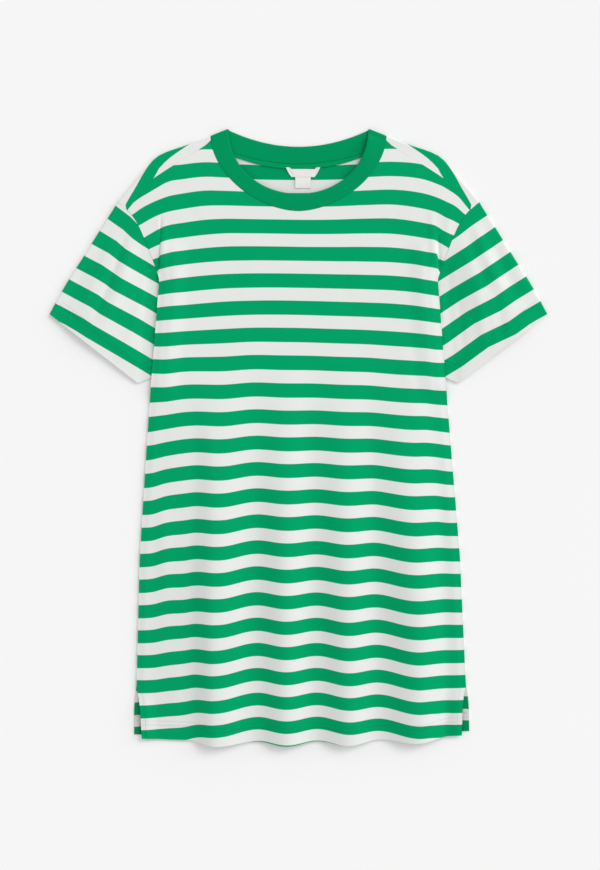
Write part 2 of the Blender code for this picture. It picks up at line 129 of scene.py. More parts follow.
class Curve:
    """A curve through (x, y) points, read by its share of length; smooth unless corners is set."""

    SPAN_STEPS = 10
    READING_STEP = 0.01

    def __init__(self, knots: tuple, corners: bool = False) -> None:
        """Set up the curve.

        Args:
            knots: The (x, y) points that it passes through.
            corners: Keeps straight lines between the points.
        """
        knots = np.array(knots, float)
        points = [knots[0]]
        for i in range(len(knots) - 1):
            before, start, end = knots[max(i - 1, 0)], knots[i], knots[i + 1]
            after = knots[min(i + 2, len(knots) - 1)]
            for t in np.arange(1, self.SPAN_STEPS + 1) / self.SPAN_STEPS:
                if corners:
                    points.append(lerp(start, end, t))
                    continue
                bend = (2 * before - 5 * start + 4 * end - after) * t**2
                turn = (3 * start - before - 3 * end + after) * t**3
                points.append((2 * start + (end - before) * t + bend + turn) / 2)
        self.points = np.array(points)
        steps_along = np.linalg.norm(np.diff(self.points, axis=0), axis=1)
        self.lengths = np.concatenate([[0.0], np.cumsum(steps_along)])
        self.length = float(self.lengths[-1])

    def at(self, share: Array) -> Array:
        """Give the points at shares of the length."""
        wanted = np.clip(share, 0.0, 1.0) * self.length
        return np.stack([np.interp(wanted, self.lengths, self.points[:, k]) for k in (0, 1)], axis=-1)

    def right_of(self, share: Array) -> Array:
        """Give the unit vectors to the right of the curve's direction."""
        share, step = np.clip(share, 0.0, 1.0), self.READING_STEP
        return -across_unit(self.at(share + step) - self.at(share - step))

    def distance(self, points: Array) -> Array:
        """Give the distances of points from the curve."""
        nearest = np.full(points.shape[:-1], np.inf)
        for start, end in zip(self.points, self.points[1:]):
            span = end - start
            share = np.clip(((points - start) @ span) / (span @ span), 0.0, 1.0)
            nearest = np.minimum(nearest, np.linalg.norm(points - start - share[..., None] * span, axis=-1))
        return nearest


def patch(bottom: Edge, top: Edge, left: Edge, right: Edge, u: Array, v: Array) -> Array:
    """Fill the patch between four edges.

    Args:
        bottom: Gives the lower edge's points by their shares, as the other three do theirs.
        top: The upper edge.
        left: The left edge, upwards.
        right: The right edge, upwards.
        u: Shares across.
        v: Shares upwards.

    Returns:
        The points of the patch.
    """
    ends = np.array((0.0, 1.0))
    low, high = bottom(ends), top(ends)
    corners = between(between(low[0], low[1], u), between(high[0], high[1], u), v)
    return between(bottom(u), top(u), v) + between(left(v), right(v), u) - corners


@dataclass(frozen=True)
class Fold:
    """A long soft fold that grows towards the hem; lean is how far its upper end lies to the right."""

    crest: float
    left_foot: float
    right_foot: float
    height: float
    lean: float


@dataclass(frozen=True)
class Crease:
    """A short soft ridge between two points, or a trough where its height is negative."""

    start: tuple[float, float]
    end: tuple[float, float]
    height: float
    width: float
    bow: float = 0.0
    taper: float = 0.35

    def rise(self, points: Array) -> Array:
        """Give how much the crease lifts the cloth at points of it."""
        start, span = np.array(self.start), np.array(self.end) - np.array(self.start)
        length = float(np.hypot(*span))
        along = np.clip(((points - start) @ span) / length**2, 0.0, 1.0)
        across = ((points - start) @ np.array((-span[1], span[0]))) / length
        across = across - self.bow * 4 * along * (1 - along)
        ends = smooth(along / self.taper) * smooth((1 - along) / self.taper)
        return self.height * np.exp(-((across / self.width) ** 2)) * ends


def creased(creases: tuple[Crease, ...], points: Array) -> Array:
    """Add up what creases lift the cloth at points of it."""
    return sum((crease.rise(points) for crease in creases), np.zeros(points.shape[:-1]))


@dataclass(frozen=True)
class NeckEdge:
    """One edge of the neck: half width, y of its ends, depth at the centre, and its roundness."""

    width: float
    top: float
    depth: float
    inner_power: float
    outer_power: float
    step: float = 0.02

    def plain(self, angle: Array) -> Array:
        """Give the edge's points: angle 0 is its right end and pi its left end."""
        x = np.cos(angle)
        sag = np.maximum(1 - np.abs(x) ** self.inner_power, 0.0) ** self.outer_power
        return np.stack([self.width * x, self.top - self.depth * sag], axis=-1)

    def at(self, angle: Array, down: float | Array = 0.0) -> Array:
        """Give the edge's points, moved down from the neck."""
        after, before = np.minimum(angle + self.step, math.pi), np.maximum(angle - self.step, 0.0)
        aside = across_unit(self.plain(after) - self.plain(before))
        return self.plain(angle) + aside * np.asarray(down)[..., None]


@dataclass
class DressForm:
    """How the layers of the dress lie, and the outlines that its pieces share."""

    middle_y: float = 1.53
    cloth: float = 1.2
    gap: float = 0.1
    back_mid: float = 0.6
    pressed_mid: float = 2.1
    fold_radius: float = 1.4
    fold_mid: float = 3.4
    fold_inset: float = 2.0
    loft: float = 1.8
    loft_run: float = 45.0
    side_run: float = 40.0
    side_press: float = 12.0
    pressed_run: float = 14.0
    hem_y: float = -437.0
    underarm_y: float = 230.2
    body_side: Table = (
        (-366.0, 240.2), (-178.0, 233.6), (-95.0, 227.8), (55.5, 216.7), (137.0, 209.9), (230.2, 202.8),
    )
    front_slit_side: Table = ((-437.0, 233.0), (-400.0, 234.5), (-380.0, 236.5))
    back_slit_side: Table = ((-437.0, 244.5), (-400.0, 244.2), (-380.0, 242.6))
    front_hem: tuple[float, float] = (-442.1, 6.8)
    back_hem: tuple[float, float] = (-434.0, 4.0)
    sway: float = 4.8
    sway_tilt: float = 2.4
    sway_top_y: float = 50.0
    sway_growth: float = 1.2
    folds: tuple[Fold, ...] = (
        Fold(-126.7, -163.0, -65.4, 12.0, 12.0),
        Fold(-22.3, -65.4, 22.2, 10.5, 4.0),
        Fold(67.5, 22.2, 114.2, 11.0, 0.0),
        Fold(168.2, 114.2, 219.3, 12.0, -22.0),
    )
    folds_top_y: float = 150.0
    folds_full_y: float = -290.0
    folds_growth: float = 0.8
    folds_hollow: float = 2.2
    side_ease: float = 0.07
    crest_lean: float = 0.5
    shoulder_edge: tuple = ((263.8, 344.1), (223.8, 391.6), (202.2, 412.9), (161.3, 427.8), (128.9, 440.2))
    shoulder_seam: tuple = ((222.7, 364.3), (211.0, 378.4), (138.0, 424.9))
    armhole: tuple = (
        (263.8, 344.1), (245.6, 328.0), (232.4, 308.1), (219.0, 276.5), (206.0, 242.1), (202.8, 230.2),
    )
    shoulder_strip: float = 19.0
    shoulder_share: float = 0.155
    outer_arm: tuple = (
        (263.8, 344.1), (272.4, 330.0), (293.0, 297.8), (314.8, 262.8), (339.0, 224.8), (363.4, 181.0),
    )
    lift_height: float = 3.6
    lift_top_y: tuple[float, float] = (300.0, 258.0)
    lift_foot_y: tuple[float, float] = (48.0, 80.0)
    lift_crease: Table = ((305.0, 199.5), (250.0, 201.8), (234.0, 206.0), (48.0, 228.0))
    lift_step: float = 1.6
    lift_inner: tuple[float, float] = (19.0, 45.0)
    seam_front: NeckEdge = NeckEdge(128.0, 438.3, 108.0, 1.78, 1 / 1.78)
    seam_back: NeckEdge = NeckEdge(128.0, 438.3, 39.4, 1.72, 1 / 1.72)
    free_front: NeckEdge = NeckEdge(101.5, 448.9, 93.1, 2.05, 1 / 2.05)
    free_back: NeckEdge = NeckEdge(101.5, 448.9, 23.8, 2.0, 1.0)
    strip_angle: float = 0.0603
    back_step_in: float = 1.6
    shoulder: Curve = field(init=False)
    arm: Curve = field(init=False)
    sleeve_edge: Curve = field(init=False)
    neck_fold: Curve = field(init=False)
    seam: Curve = field(init=False)
    strip_share: float = field(init=False)
    fold_share: float = field(init=False)

    def __post_init__(self) -> None:
        """Work out the curves that several pieces follow."""
        self.shoulder, self.arm = Curve(self.shoulder_edge), Curve(self.armhole)
        self.sleeve_edge = Curve(self.outer_arm)
        corners = tuple(edge.plain(np.zeros(1))[0] for edge in (self.seam_front, self.free_front))
        self.neck_fold = Curve(corners, corners=True)
        self.strip_share = self.shoulder_strip / self.arm.length
        self.fold_share = self.fold_inset / self.arm.length
        at_arm = self.arm_point(np.array([self.strip_share]), -self.gap / 2)[0]
        at_neck = self.seam_front.at(np.array([self.strip_angle]), self.gap / 2)[0]
        self.seam = Curve((at_arm, *self.shoulder_seam, at_neck))

    def arm_point(self, share: Array, outwards: float) -> Array:
        """Give points of the right armhole seam, moved outwards by part of the seam's gap."""
        return self.arm.at(share) - self.arm.right_of(share) * outwards

    def half_width(self, y: Array, slit_side: Table) -> Array:
        """Give the body's half width, above the slits or beside them."""
        return read(slit_side + self.body_side, y)

    def fold_wave(self, points: Array) -> tuple[Array, Array]:
        """Read the long folds.

        Args:
            points: Points of the front.

        Returns:
            How far the folds have grown there, from 0 to 1, and their height.
        """
        x, y = points[..., 0], points[..., 1]
        grown = smooth((self.folds_top_y - y) / (self.folds_top_y - self.folds_full_y)) ** self.folds_growth
        total = np.zeros_like(x)
        for fold in self.folds:
            away = x - fold.crest - fold.lean * (1 - grown)
            reach = np.where(away < 0, fold.crest - fold.left_foot, fold.right_foot - fold.crest)
            total += fold.height * 0.5 * (1 + np.cos(np.pi * np.minimum(np.abs(away) / reach, 1.0)))
        return grown, total * grown

    def upper_mid(self, points: Array, slit_side: Table | None = None) -> Array:
        """Give the height of the upper layer's middle.

        Args:
            points: Where it is read.
            slit_side: The side beside the slits, given inside the body and left out on a sleeve.

        Returns:
            Heights that are low at the sides, where the layers press together, and higher inside.
        """
        x, y = np.abs(points[..., 0]), points[..., 1]
        away = x - self.half_width(np.minimum(y, self.underarm_y), slit_side or self.front_slit_side)
        beside = -away if slit_side else away - self.pressed_run
        above = np.maximum(y - self.underarm_y - self.pressed_run, 0.0)
        from_side = np.hypot(np.maximum(beside, 0.0), above)
        upright = np.stack([x, y], axis=-1)
        edges = (self.shoulder, self.sleeve_edge, self.neck_fold)
        from_fold = np.minimum.reduce([edge.distance(upright) for edge in edges])
        height = lerp(self.pressed_mid, self.fold_mid, smooth(from_side / self.side_press))
        risen = smooth((from_fold - self.fold_inset) / self.loft_run) * smooth(from_side / self.side_run)
        return height + self.loft * risen

    def crease_x(self, y: Array) -> Array:
        """Give where the body's side goes on upwards as a crease, between the armhole and the body."""
        return read(self.lift_crease, y)

    def lift(self, points: Array, further_in: float = 0.0) -> Array:
        """Give how far the body lies higher over a sleeve's inner edge.

        Args:
            points: Points of a panel.
            further_in: How far the step at the lift's outer side is moved inwards above the underarm.

        Returns:
            The heights, which end at that step and fade inwards.
        """
        x, y = np.abs(points[..., 0]) + further_in * (points[..., 1] > self.underarm_y), points[..., 1]
        along = smooth((self.lift_top_y[0] - y) / (self.lift_top_y[0] - self.lift_top_y[1]))
        along = along * smooth((y - self.lift_foot_y[0]) / (self.lift_foot_y[1] - self.lift_foot_y[0]))
        outer = 1 - smooth((x - self.crease_x(y)) / self.lift_step)
        inside = self.half_width(np.minimum(y, self.underarm_y), self.front_slit_side) - x
        inner = 1 - smooth((inside - self.lift_inner[0]) / (self.lift_inner[1] - self.lift_inner[0]))
        return self.lift_height * along * outer * inner

    def swayed(self, points: Array) -> Array:
        """Shift and tilt the lower body a little to one side."""
        x, y = points[..., 0], points[..., 1]
        share = np.maximum((self.sway_top_y - y) / (self.sway_top_y - self.hem_y), 0.0)
        tilt = self.sway_tilt * share * x / self.front_slit_side[0][1]
        return np.stack([x + self.sway * share**self.sway_growth, y + tilt], axis=-1)


@dataclass(frozen=True)
class StripeChart:
    """Where the stripes lie on the cloth: whole numbers are the middles of green stripes."""

    knots: Table = (
        (466.5, -4.0), (386.8, -2.0), (307.4, 0.0), (229.1, 2.0), (149.9, 4.0), (69.4, 6.0), (-7.9, 8.0),
        (-84.3, 10.0), (-159.8, 12.0), (-234.8, 14.0), (-308.2, 16.0), (-380.2, 18.0), (-450.0, 20.0),
    )
    droop_x: tuple[float, ...] = (
        -250, -230, -215, -195, -166, -137, -107, -70, -25, 5, 53, 97, 141, 170, 185, 199, 214, 230, 250,
    )
    droop_y: tuple[float, ...] = (-437, -330, -230, -113, 2, 99, 200, 255, 300, 340, 387)
    droop: tuple[tuple[float, ...], ...] = (
        (17, 16.8, 16.5, 15.5, 13.5, 4, 2.3, 0, -0.9, 0, 0.4, 2.9, 5.5, 7.4, 8.5, 11.8, 13.8, 13.5, 13.5),
        (16, 16, 15.6, 12.6, 9.4, 3.6, 2.3, -0.2, -1.1, 0, 0.2, 2.6, 5.5, 7.2, 8.3, 10.2, 12.2, 12.3, 12),
        (17.3, 17.3, 16, 10.9, 9.1, 2.4, 2.3, -0.6, -1.5, 0, -0.2, 2, 5.5, 6.6, 7.7, 9.4, 10.8, 11.5, 12),
        (17.4, 17.4, 16.5, 10.4, 6.7, 2.7, 2.5, -0.9, -1.5, 0, 0.3, 2.1, 5.1, 7.2, 8.2, 9.6, 12, 12.3, 12),
        (13, 13, 11.7, 8, 3.5, 1.7, 1.7, -1.2, -0.8, 0, 0.7, 2.5, 5.2, 7.5, 8.3, 10.3, 12.4, 14, 14),
        (5, 5, 4.9, 5.7, 2.4, 1.8, 1.3, -1, -0.4, 0, 1.4, 2.8, 5.9, 7.6, 8.6, 10.4, 10.6, 11, 11),
        (13, 13, 12, 9.2, 6.4, 3.6, 1.3, 0, -0.3, 0.2, 1.4, 2.6, 4.5, 7.2, 9.7, 11.7, 14, 16, 16),
        (38, 28, 17.5, 10.9, 5.5, 2.3, 0.3, -0.4, -0.3, 0.1, 0.7, 1.2, 2.6, 5.5, 8.4, 10.6, 15.5, 25, 36),
        (34, 27, 19.5, 10, 4.8, 1.2, -0.9, -0.9, -0.4, 0.1, 0, -0.8, 0, 3.5, 6, 9, 17.5, 24, 31),
        (42, 24, 15.5, 8, 2.2, -1.5, -2, -1, -0.2, 0, -0.6, -2.5, -3, 0.4, 3, 6.8, 13, 21, 44),
        (65, 40, 22, 4.3, -1.5, -4.3, -3, -1, 0, 0, -1, -3.5, -5, -3, -0.2, 4.7, 12, 30, 60),
    )
    crease_steps: tuple[tuple[float, float, float], ...] = ((-1.0, 2.0, 305.0), (1.0, 5.5, 285.0))
    beyond_run: float = 2.5
    beyond_y: float = 222.0
    beyond_rise: float = 12.0
    step_run: float = 24.0

    def number(self, points: Array, form: DressForm) -> Array:
        """Give the stripe number at points of the flat front."""
        x, y = points[..., 0], points[..., 1]
        across = np.array([flowing(self.droop_x, row, x) for row in self.droop])
        droop = flowing(self.droop_y, across, y)
        beyond = smooth((np.abs(x) - form.crease_x(y)) / self.beyond_run)
        beyond = beyond * smooth((y - self.beyond_y) / self.beyond_rise)
        for side, step, top in self.crease_steps:
            droop = droop + step * beyond * (x * side > 0) * smooth((top - y) / self.step_run)
        return self.count(y + droop)

    def count(self, y: Array) -> Array:
        """Give the stripe number at heights on the straight centre of the cloth."""
        rows = np.array(sorted(self.knots))
        return flowing(rows[:, 0], rows[:, 1], y)


class Piece:
    """Helpers for one named piece: making its mesh and its maps, and finishing it in place of its solid."""

    SMOOTH_ANGLE = math.radians(50.0)
    MERGE_WITHIN = 2e-6

    @staticmethod
    def clear() -> None:
        """Leave edit mode and deselect everything."""
        if bpy.context.object and bpy.context.object.mode != "OBJECT":
            bpy.ops.object.mode_set(mode="OBJECT")
        bpy.ops.object.select_all(action="DESELECT")

    @staticmethod
    def pick(obj: bpy.types.Object) -> None:
        """Make this the one object that the next operators work on."""
        Piece.clear()
        obj.select_set(True)
        bpy.context.view_layer.objects.active = obj

    @staticmethod
    def coordinates(obj: bpy.types.Object) -> Array:
        """Read the mesh's vertices as an array."""
        flat = np.empty(len(obj.data.vertices) * 3)
        obj.data.vertices.foreach_get("co", flat)
        return flat.reshape(-1, 3)

    @staticmethod
    def place(obj: bpy.types.Object, points: Array, form: DressForm) -> None:
        """Move the mesh's vertices to points in millimetres, turned into the frame's metres."""
        moved = (points - np.array((0.0, form.middle_y, 0.0))) * MM
        obj.data.vertices.foreach_set("co", moved.ravel())
        obj.data.update()

    @staticmethod
    def of_faces(obj: bpy.types.Object, what: str) -> Array:
        """Read a whole number of each face, such as how many corners it has."""
        values = np.empty(len(obj.data.polygons), np.int32)
        obj.data.polygons.foreach_get(what, values)
        return values

    @staticmethod
    def add_map(obj: bpy.types.Object, name: str, values: Array, wrap: float = 0.0) -> None:
        """Give the mesh a UV map.

        Args:
            obj: The object.
            name: The map's name.
            values: Two numbers for each vertex.
            wrap: The first number's whole round, on a ring; cells across its start are mended.
        """
        layer = obj.data.uv_layers.get(name) or obj.data.uv_layers.new(name=name)
        corners = np.empty(len(obj.data.loops), np.int32)
        obj.data.loops.foreach_get("vertex_index", corners)
        uv = values[corners].copy()
        if wrap:
            highest = np.maximum.reduceat(uv[:, 0], Piece.of_faces(obj, "loop_start"))
            first = np.repeat(highest, Piece.of_faces(obj, "loop_total"))
            uv[:, 0] += np.where(first - uv[:, 0] > wrap / 2, wrap, 0.0)
        layer.data.foreach_set("uv", uv.astype(np.float32).ravel())

    @staticmethod
    def grid(name: str, columns: Array, rows: Array) -> tuple[bpy.types.Object, Array, Array]:
        """Add a plain grid with a vertex for each pair of a column and a row.

        Args:
            name: The object's name.
            columns: Values across.
            rows: Values upwards.

        Returns:
            The object, and the column and the row value of each vertex.
        """
        Piece.clear()
        across, along = len(columns) - 1, len(rows) - 1
        bpy.ops.mesh.primitive_grid_add(x_subdivisions=across, y_subdivisions=along, size=1.0)
        obj = bpy.context.object
        obj.name = obj.data.name = name
        co = Piece.coordinates(obj)
        column = np.rint((co[:, 0] + 0.5) * across).astype(int)
        row = np.rint((co[:, 1] + 0.5) * along).astype(int)
        return obj, np.asarray(columns)[column], np.asarray(rows)[row]

    @staticmethod
    def cut_cells(obj: bpy.types.Object, gone: Array) -> None:
        """Delete the faces whose corners are all marked."""
        obj.data.vertices.foreach_set("select", np.zeros(len(obj.data.vertices), bool))
        obj.data.edges.foreach_set("select", np.zeros(len(obj.data.edges), bool))
        marked = [all(gone[i] for i in polygon.vertices) for polygon in obj.data.polygons]
        obj.data.polygons.foreach_set("select", marked)
        Piece.pick(obj)
        bpy.ops.object.mode_set(mode="EDIT")
        bpy.ops.mesh.select_mode(type="FACE")
        bpy.ops.mesh.delete(type="FACE")
        bpy.ops.object.mode_set(mode="OBJECT")

    @staticmethod
    def thicken(obj: bpy.types.Object, thickness: float, wrong_first: bool | None = None) -> None:
        """Turn an open surface into a closed shell.

        Args:
            obj: The object.
            thickness: The wall in millimetres.
            wrong_first: Whether the first of its two faces is the cloth's wrong side; None leaves both alike.
        """
        faces = len(obj.data.polygons)
        Piece.pick(obj)
        wall = obj.modifiers.new("Wall", "SOLIDIFY")
        wall.thickness = thickness * MM
        wall.offset = 0.0
        bpy.ops.object.modifier_apply(modifier=wall.name)
        if wrong_first is None:
            return
        layer = obj.data.uv_layers.new(name="Wrong")
        totals = Piece.of_faces(obj, "loop_total")
        index = np.arange(len(totals))
        wrong = index < faces if wrong_first else (index >= faces) & (index < 2 * faces)
        marks = np.repeat(wrong.astype(np.float32), totals)
        layer.data.foreach_set("uv", np.stack([marks, marks], axis=-1).ravel())

    @staticmethod
    def close(obj: bpy.types.Object) -> None:
        """Merge the vertices that meet, and turn all faces outwards."""
        Piece.pick(obj)
        bpy.ops.object.mode_set(mode="EDIT")
        bpy.ops.mesh.select_all(action="SELECT")
        bpy.ops.mesh.remove_doubles(threshold=Piece.MERGE_WITHIN)
        bpy.ops.mesh.normals_make_consistent(inside=False)
        bpy.ops.object.mode_set(mode="OBJECT")

    @staticmethod
    def dress(obj: bpy.types.Object, material: bpy.types.Material, slot: str, *nodes: str) -> None:
        """Finish a piece: smooth shading, its material, the body that it rides on and what it stands for."""
        Piece.pick(obj)
        bpy.ops.object.shade_smooth_by_angle(angle=Piece.SMOOTH_ANGLE)
        obj.data.materials.clear()
        obj.data.materials.append(material)
        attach(obj, "root")
        if nodes:
            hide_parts(*nodes)
        obj.select_set(False)
        LOG.info("%s: %d faces, %s", obj.name, len(obj.data.polygons), material.name)


@dataclass
class Panel(ABC):
    """What the front and the back share: columns that match at their seams, a hem, and slits beside it."""

    form: DressForm
    chart: StripeChart
    slit_side: Table = field(init=False)
    hem: tuple[float, float] = field(init=False)
    top_share: float = field(init=False)
    neck_spans: int = 60
    side_columns: int = 36
    side_share: float = 0.072
    shoulder_columns: int = 9
    rim: float = 0.0016
    stitch_ends: tuple[float, float] = (0.004, 0.996)
    hem_points: int = 240
    slit_points: int = 30
    slit_line_inset: float = 7.0
    slit_line_top: float = -368.0

    @abstractmethod
    def shoulder(self, share: Array) -> Array:
        """Give the upper edge on the right shoulder, from the armhole to the neck."""

    @abstractmethod
    def neck(self, share: Array) -> Array:
        """Give the upper edge along the neck, from left to right."""

    @abstractmethod
    def rows(self) -> Array:
        """Give the rows, from 0 at the hem to 1 at the underarm and 2 at the upper edge."""

    @abstractmethod
    def surface(self, u: Array, row: Array) -> Array:
        """Give points of the panel as it lies, at the middle of the cloth."""

    @abstractmethod
    def stripes(self, u: Array, row: Array) -> Array:
        """Give (share across, stripe number) at points of the panel."""

    def columns(self) -> Array:
        """Give the shares across of the columns, closer together at the sides and shoulders."""
        last = self.form.shoulder_share
        near = np.linspace(0.0, self.side_share, self.side_columns)[1:]
        far = np.linspace(self.side_share, last, self.shoulder_columns)[1:]
        fine = [0.0, self.rim, *near, *far]
        neck = [lerp(last, 1 - last, i / self.neck_spans) for i in range(1, self.neck_spans)]
        return np.array([*fine, *neck, *(1 - share for share in reversed(fine))])

    def row_at(self, y: float) -> float:
        """Give the row at a y below the underarm."""
        return (y - self.form.hem_y) / (self.form.underarm_y - self.form.hem_y)

    def hem_at(self, u: Array) -> Array:
        """Give the hem's y, which is higher at its ends."""
        return self.hem[0] + self.hem[1] * (2 * u - 1) ** 2

    def armhole(self, side: float) -> Edge:
        """Give the panel's edge at an armhole, upwards."""
        inwards = -self.form.gap / 2
        return lambda v: mirrored(self.form.arm_point(lerp(1.0, self.top_share, v), inwards), side)

    def top(self, u: Array) -> Array:
        """Give the upper edge: the left shoulder, the neck and the right shoulder."""
        share = self.form.shoulder_share
        left = mirrored(self.shoulder(u / share), -1.0)
        right = self.shoulder((1 - u) / share)
        middle = self.neck(np.clip((u - share) / (1 - 2 * share), 0.0, 1.0))
        points = np.where((u <= share)[..., None], left, middle)
        return np.where((u >= 1 - share)[..., None], right, points)

    def flat(self, u: Array, row: Array) -> Array:
        """Give points of the flat panel, before folds and sway.

        Args:
            u: Shares across, from the left side.
            row: Rows; past 2 the points stay on the upper edge.

        Returns:
            The (x, y) points.
        """
        form, below = self.form, np.minimum(row, 1.0)
        x = form.half_width(lerp(form.hem_y, form.underarm_y, below), self.slit_side) * (2 * u - 1)
        body = np.stack([x, lerp(self.hem_at(u), form.underarm_y, below)], axis=-1)
        left, right = self.armhole(-1.0), self.armhole(1.0)
        ends = (left(np.zeros(1)), right(np.zeros(1)))
        above = np.clip(row, 1.0, 2.0) - 1
        yoke = patch(lambda share: between(*ends, share), self.top, left, right, u, above)
        return np.where((row <= 1)[..., None], body, yoke)

    def laid_out(self, u: Array, row: Array) -> Array:
        """Give the points' places on the panel laid out flat."""
        return self.flat(u, row)

    def edges(self, u: Array, row: Array) -> Array:
        """Give the distances from the hem and from the nearer side, in metres."""
        flat = self.flat(u, row)
        side = self.form.half_width(np.minimum(flat[..., 1], self.form.underarm_y), self.slit_side)
        return np.stack([flat[..., 1] - self.hem_at(u), side - np.abs(flat[..., 0])], axis=-1) * MM

    def hem_lines(self, insets: tuple[float, ...] = HEM_ROWS) -> list[tuple[Array, Array]]:
        """Give the (shares, rows) of lines beside the hem."""
        u = np.linspace(*self.stitch_ends, self.hem_points)
        return [(u, inset / (self.form.underarm_y - self.hem_at(u))) for inset in insets]

    def slit_lines(self) -> list[tuple[Array, Array]]:
        """Give the (shares, rows) of a line beside each slit."""
        form = self.form
        row = np.linspace(self.stitch_ends[0], self.row_at(self.slit_line_top), self.slit_points)
        half = form.half_width(lerp(form.hem_y, form.underarm_y, row), self.slit_side)
        return [((1 + side * (1 - self.slit_line_inset / half)) / 2, row) for side in (-1.0, 1.0)]

    def open_cloth(self, name: str) -> tuple[bpy.types.Object, Array, Array]:
        """Make the panel as a bare surface.

        Args:
            name: The object's name.

        Returns:
            The object with its maps, and each vertex's share across and row.
        """
        obj, u, row = Piece.grid(name, self.columns(), self.rows())
        Piece.place(obj, self.surface(u, row), self.form)
        Piece.add_map(obj, "Stripes", self.stripes(u, row))
        Piece.add_map(obj, "Cloth", self.laid_out(u, row) * MM)
        Piece.add_map(obj, "Edges", self.edges(u, row))
        return obj, u, row


@dataclass
class FrontPanel(Panel):
    """The front, from the shoulder seams to the hem."""

    neck_spans: int = 66
    slit_top: float = -366.0
    slit_rows: int = 16
    body_rows: int = 136
    yoke_rows: int = 44
    seam_row: float = 1.99
    slit_gape: float = 3.5
    slit_reach: float = 26.0
    creases: tuple[Crease, ...] = (
        Crease((-199.5, 336.0), (-203.5, 228.0), -1.9, 1.5),
        Crease((-193.5, 330.0), (-196.5, 232.0), 0.5, 3.4),
        Crease((203.0, 306.0), (206.0, 234.0), -1.4, 2.4),
        Crease((193.0, 342.0), (196.0, 236.0), 1.1, 5.0, 1.0),
        Crease((222.0, 338.0), (211.0, 268.0), 0.8, 6.0, 1.0),
        Crease((-176.0, 372.0), (-150.0, 300.0), -0.5, 9.0, 3.0),
        Crease((172.0, 374.0), (158.0, 296.0), 0.5, 9.0, -3.0),
        Crease((-60.0, 296.0), (-84.0, 190.0), 0.5, 12.0, 4.0),
        Crease((46.0, 280.0), (78.0, 150.0), -0.4, 13.0, 5.0),
        Crease((-150.0, 120.0), (-120.0, -60.0), 0.8, 13.0, -5.0),
        Crease((146.0, 160.0), (176.0, -20.0), 0.7, 12.0, 4.0),
        Crease((12.0, 90.0), (-2.0, -120.0), -0.6, 14.0, 4.0),
        Crease((-206.0, -60.0), (-196.0, -250.0), 0.9, 11.0, 3.0),
        Crease((196.0, -120.0), (208.0, -300.0), -0.6, 10.0, -3.0),
        Crease((-92.0, -190.0), (-98.0, -372.0), 0.8, 9.0, 3.0),
        Crease((20.0, -230.0), (30.0, -430.0), 0.7, 9.0, -2.0),
        Crease((112.0, -180.0), (106.0, -400.0), -0.5, 10.0, 3.0),
        Crease((-180.0, -300.0), (-186.0, -436.0), 0.9, 8.0, 1.0),
    )

    def __post_init__(self) -> None:
        """Take the front's own edges from the form."""
        self.slit_side, self.hem = self.form.front_slit_side, self.form.front_hem
        self.top_share = self.form.strip_share

    def rows(self) -> Array:
        """Give the rows, from 0 at the hem to 1 at the underarm and 2 at the shoulder."""
        top = self.row_at(self.slit_top)
        low = [0.0, self.rim, *(lerp(0.0, top, i / self.slit_rows) for i in range(1, self.slit_rows))]
        body = np.linspace(top, 1.0, self.body_rows)
        yoke = 1 + np.linspace(0.0, 1.0, self.yoke_rows + 1)[1:]
        return np.array([*low, *body, *yoke[:-1], self.seam_row, 2.0])

    def shoulder(self, share: Array) -> Array:
        """Give the right shoulder seam, from the armhole to the neck."""
        return self.form.seam.at(share)

    def neck(self, share: Array) -> Array:
        """Give the neck seam, from left to right."""
        form = self.form
        angle = lerp(math.pi - form.strip_angle, form.strip_angle, share)
        return form.seam_front.at(angle, form.gap / 2)

    def surface(self, u: Array, row: Array) -> Array:
        """Give points of the front as it lies, at the middle of the cloth."""
        form = self.form
        flat = self.flat(u, row)
        grown, wave = form.fold_wave(flat)
        inside = smooth((0.5 - np.abs(u - 0.5)) / form.side_ease)
        height = form.upper_mid(flat, form.front_slit_side) + (wave - form.folds_hollow * grown) * inside
        height = height + form.lift(flat) + creased(self.creases, flat) + self.slit_rise(flat)
        on_back = form.back_mid + form.cloth + 2 * form.gap + form.lift(flat, form.back_step_in)
        height = np.maximum(height, on_back)
        lean = np.stack([np.zeros_like(u), -form.crest_lean * wave * inside], axis=-1)
        return np.concatenate([form.swayed(flat + lean), height[..., None]], axis=-1)

    def slit_rise(self, flat: Array) -> Array:
        """Give how far the front's edge stands off the back beside the slits."""
        inside = self.form.half_width(flat[..., 1], self.slit_side) - np.abs(flat[..., 0])
        along = smooth((self.slit_top - flat[..., 1]) / self.slit_reach)
        return self.slit_gape * along * smooth(1 - inside / self.slit_reach)

    def stripes(self, u: Array, row: Array) -> Array:
        """Give (share across, stripe number) at points of the front."""
        return np.stack([u, self.chart.number(self.flat(u, row), self.form)], axis=-1)

    def stitch(self, thread: bpy.types.Material) -> None:
        """Sew the hem's twin rows and the rows beside the slits."""
        stitches = Stitching(self.form, "front_stitches")
        for u, row in self.hem_lines() + self.slit_lines():
            stitches.sew(self.surface(u, row), self.stripes(u, row)[:, 1])
        stitches.build(thread)

    def build(self, material: bpy.types.Material) -> None:
        """Make the front and put it in place of its solid."""
        obj, _, _ = self.open_cloth("front_cloth")
        Piece.thicken(obj, self.form.cloth, wrong_first=False)
        Piece.dress(obj, material, "striped_jersey", "front_panel")


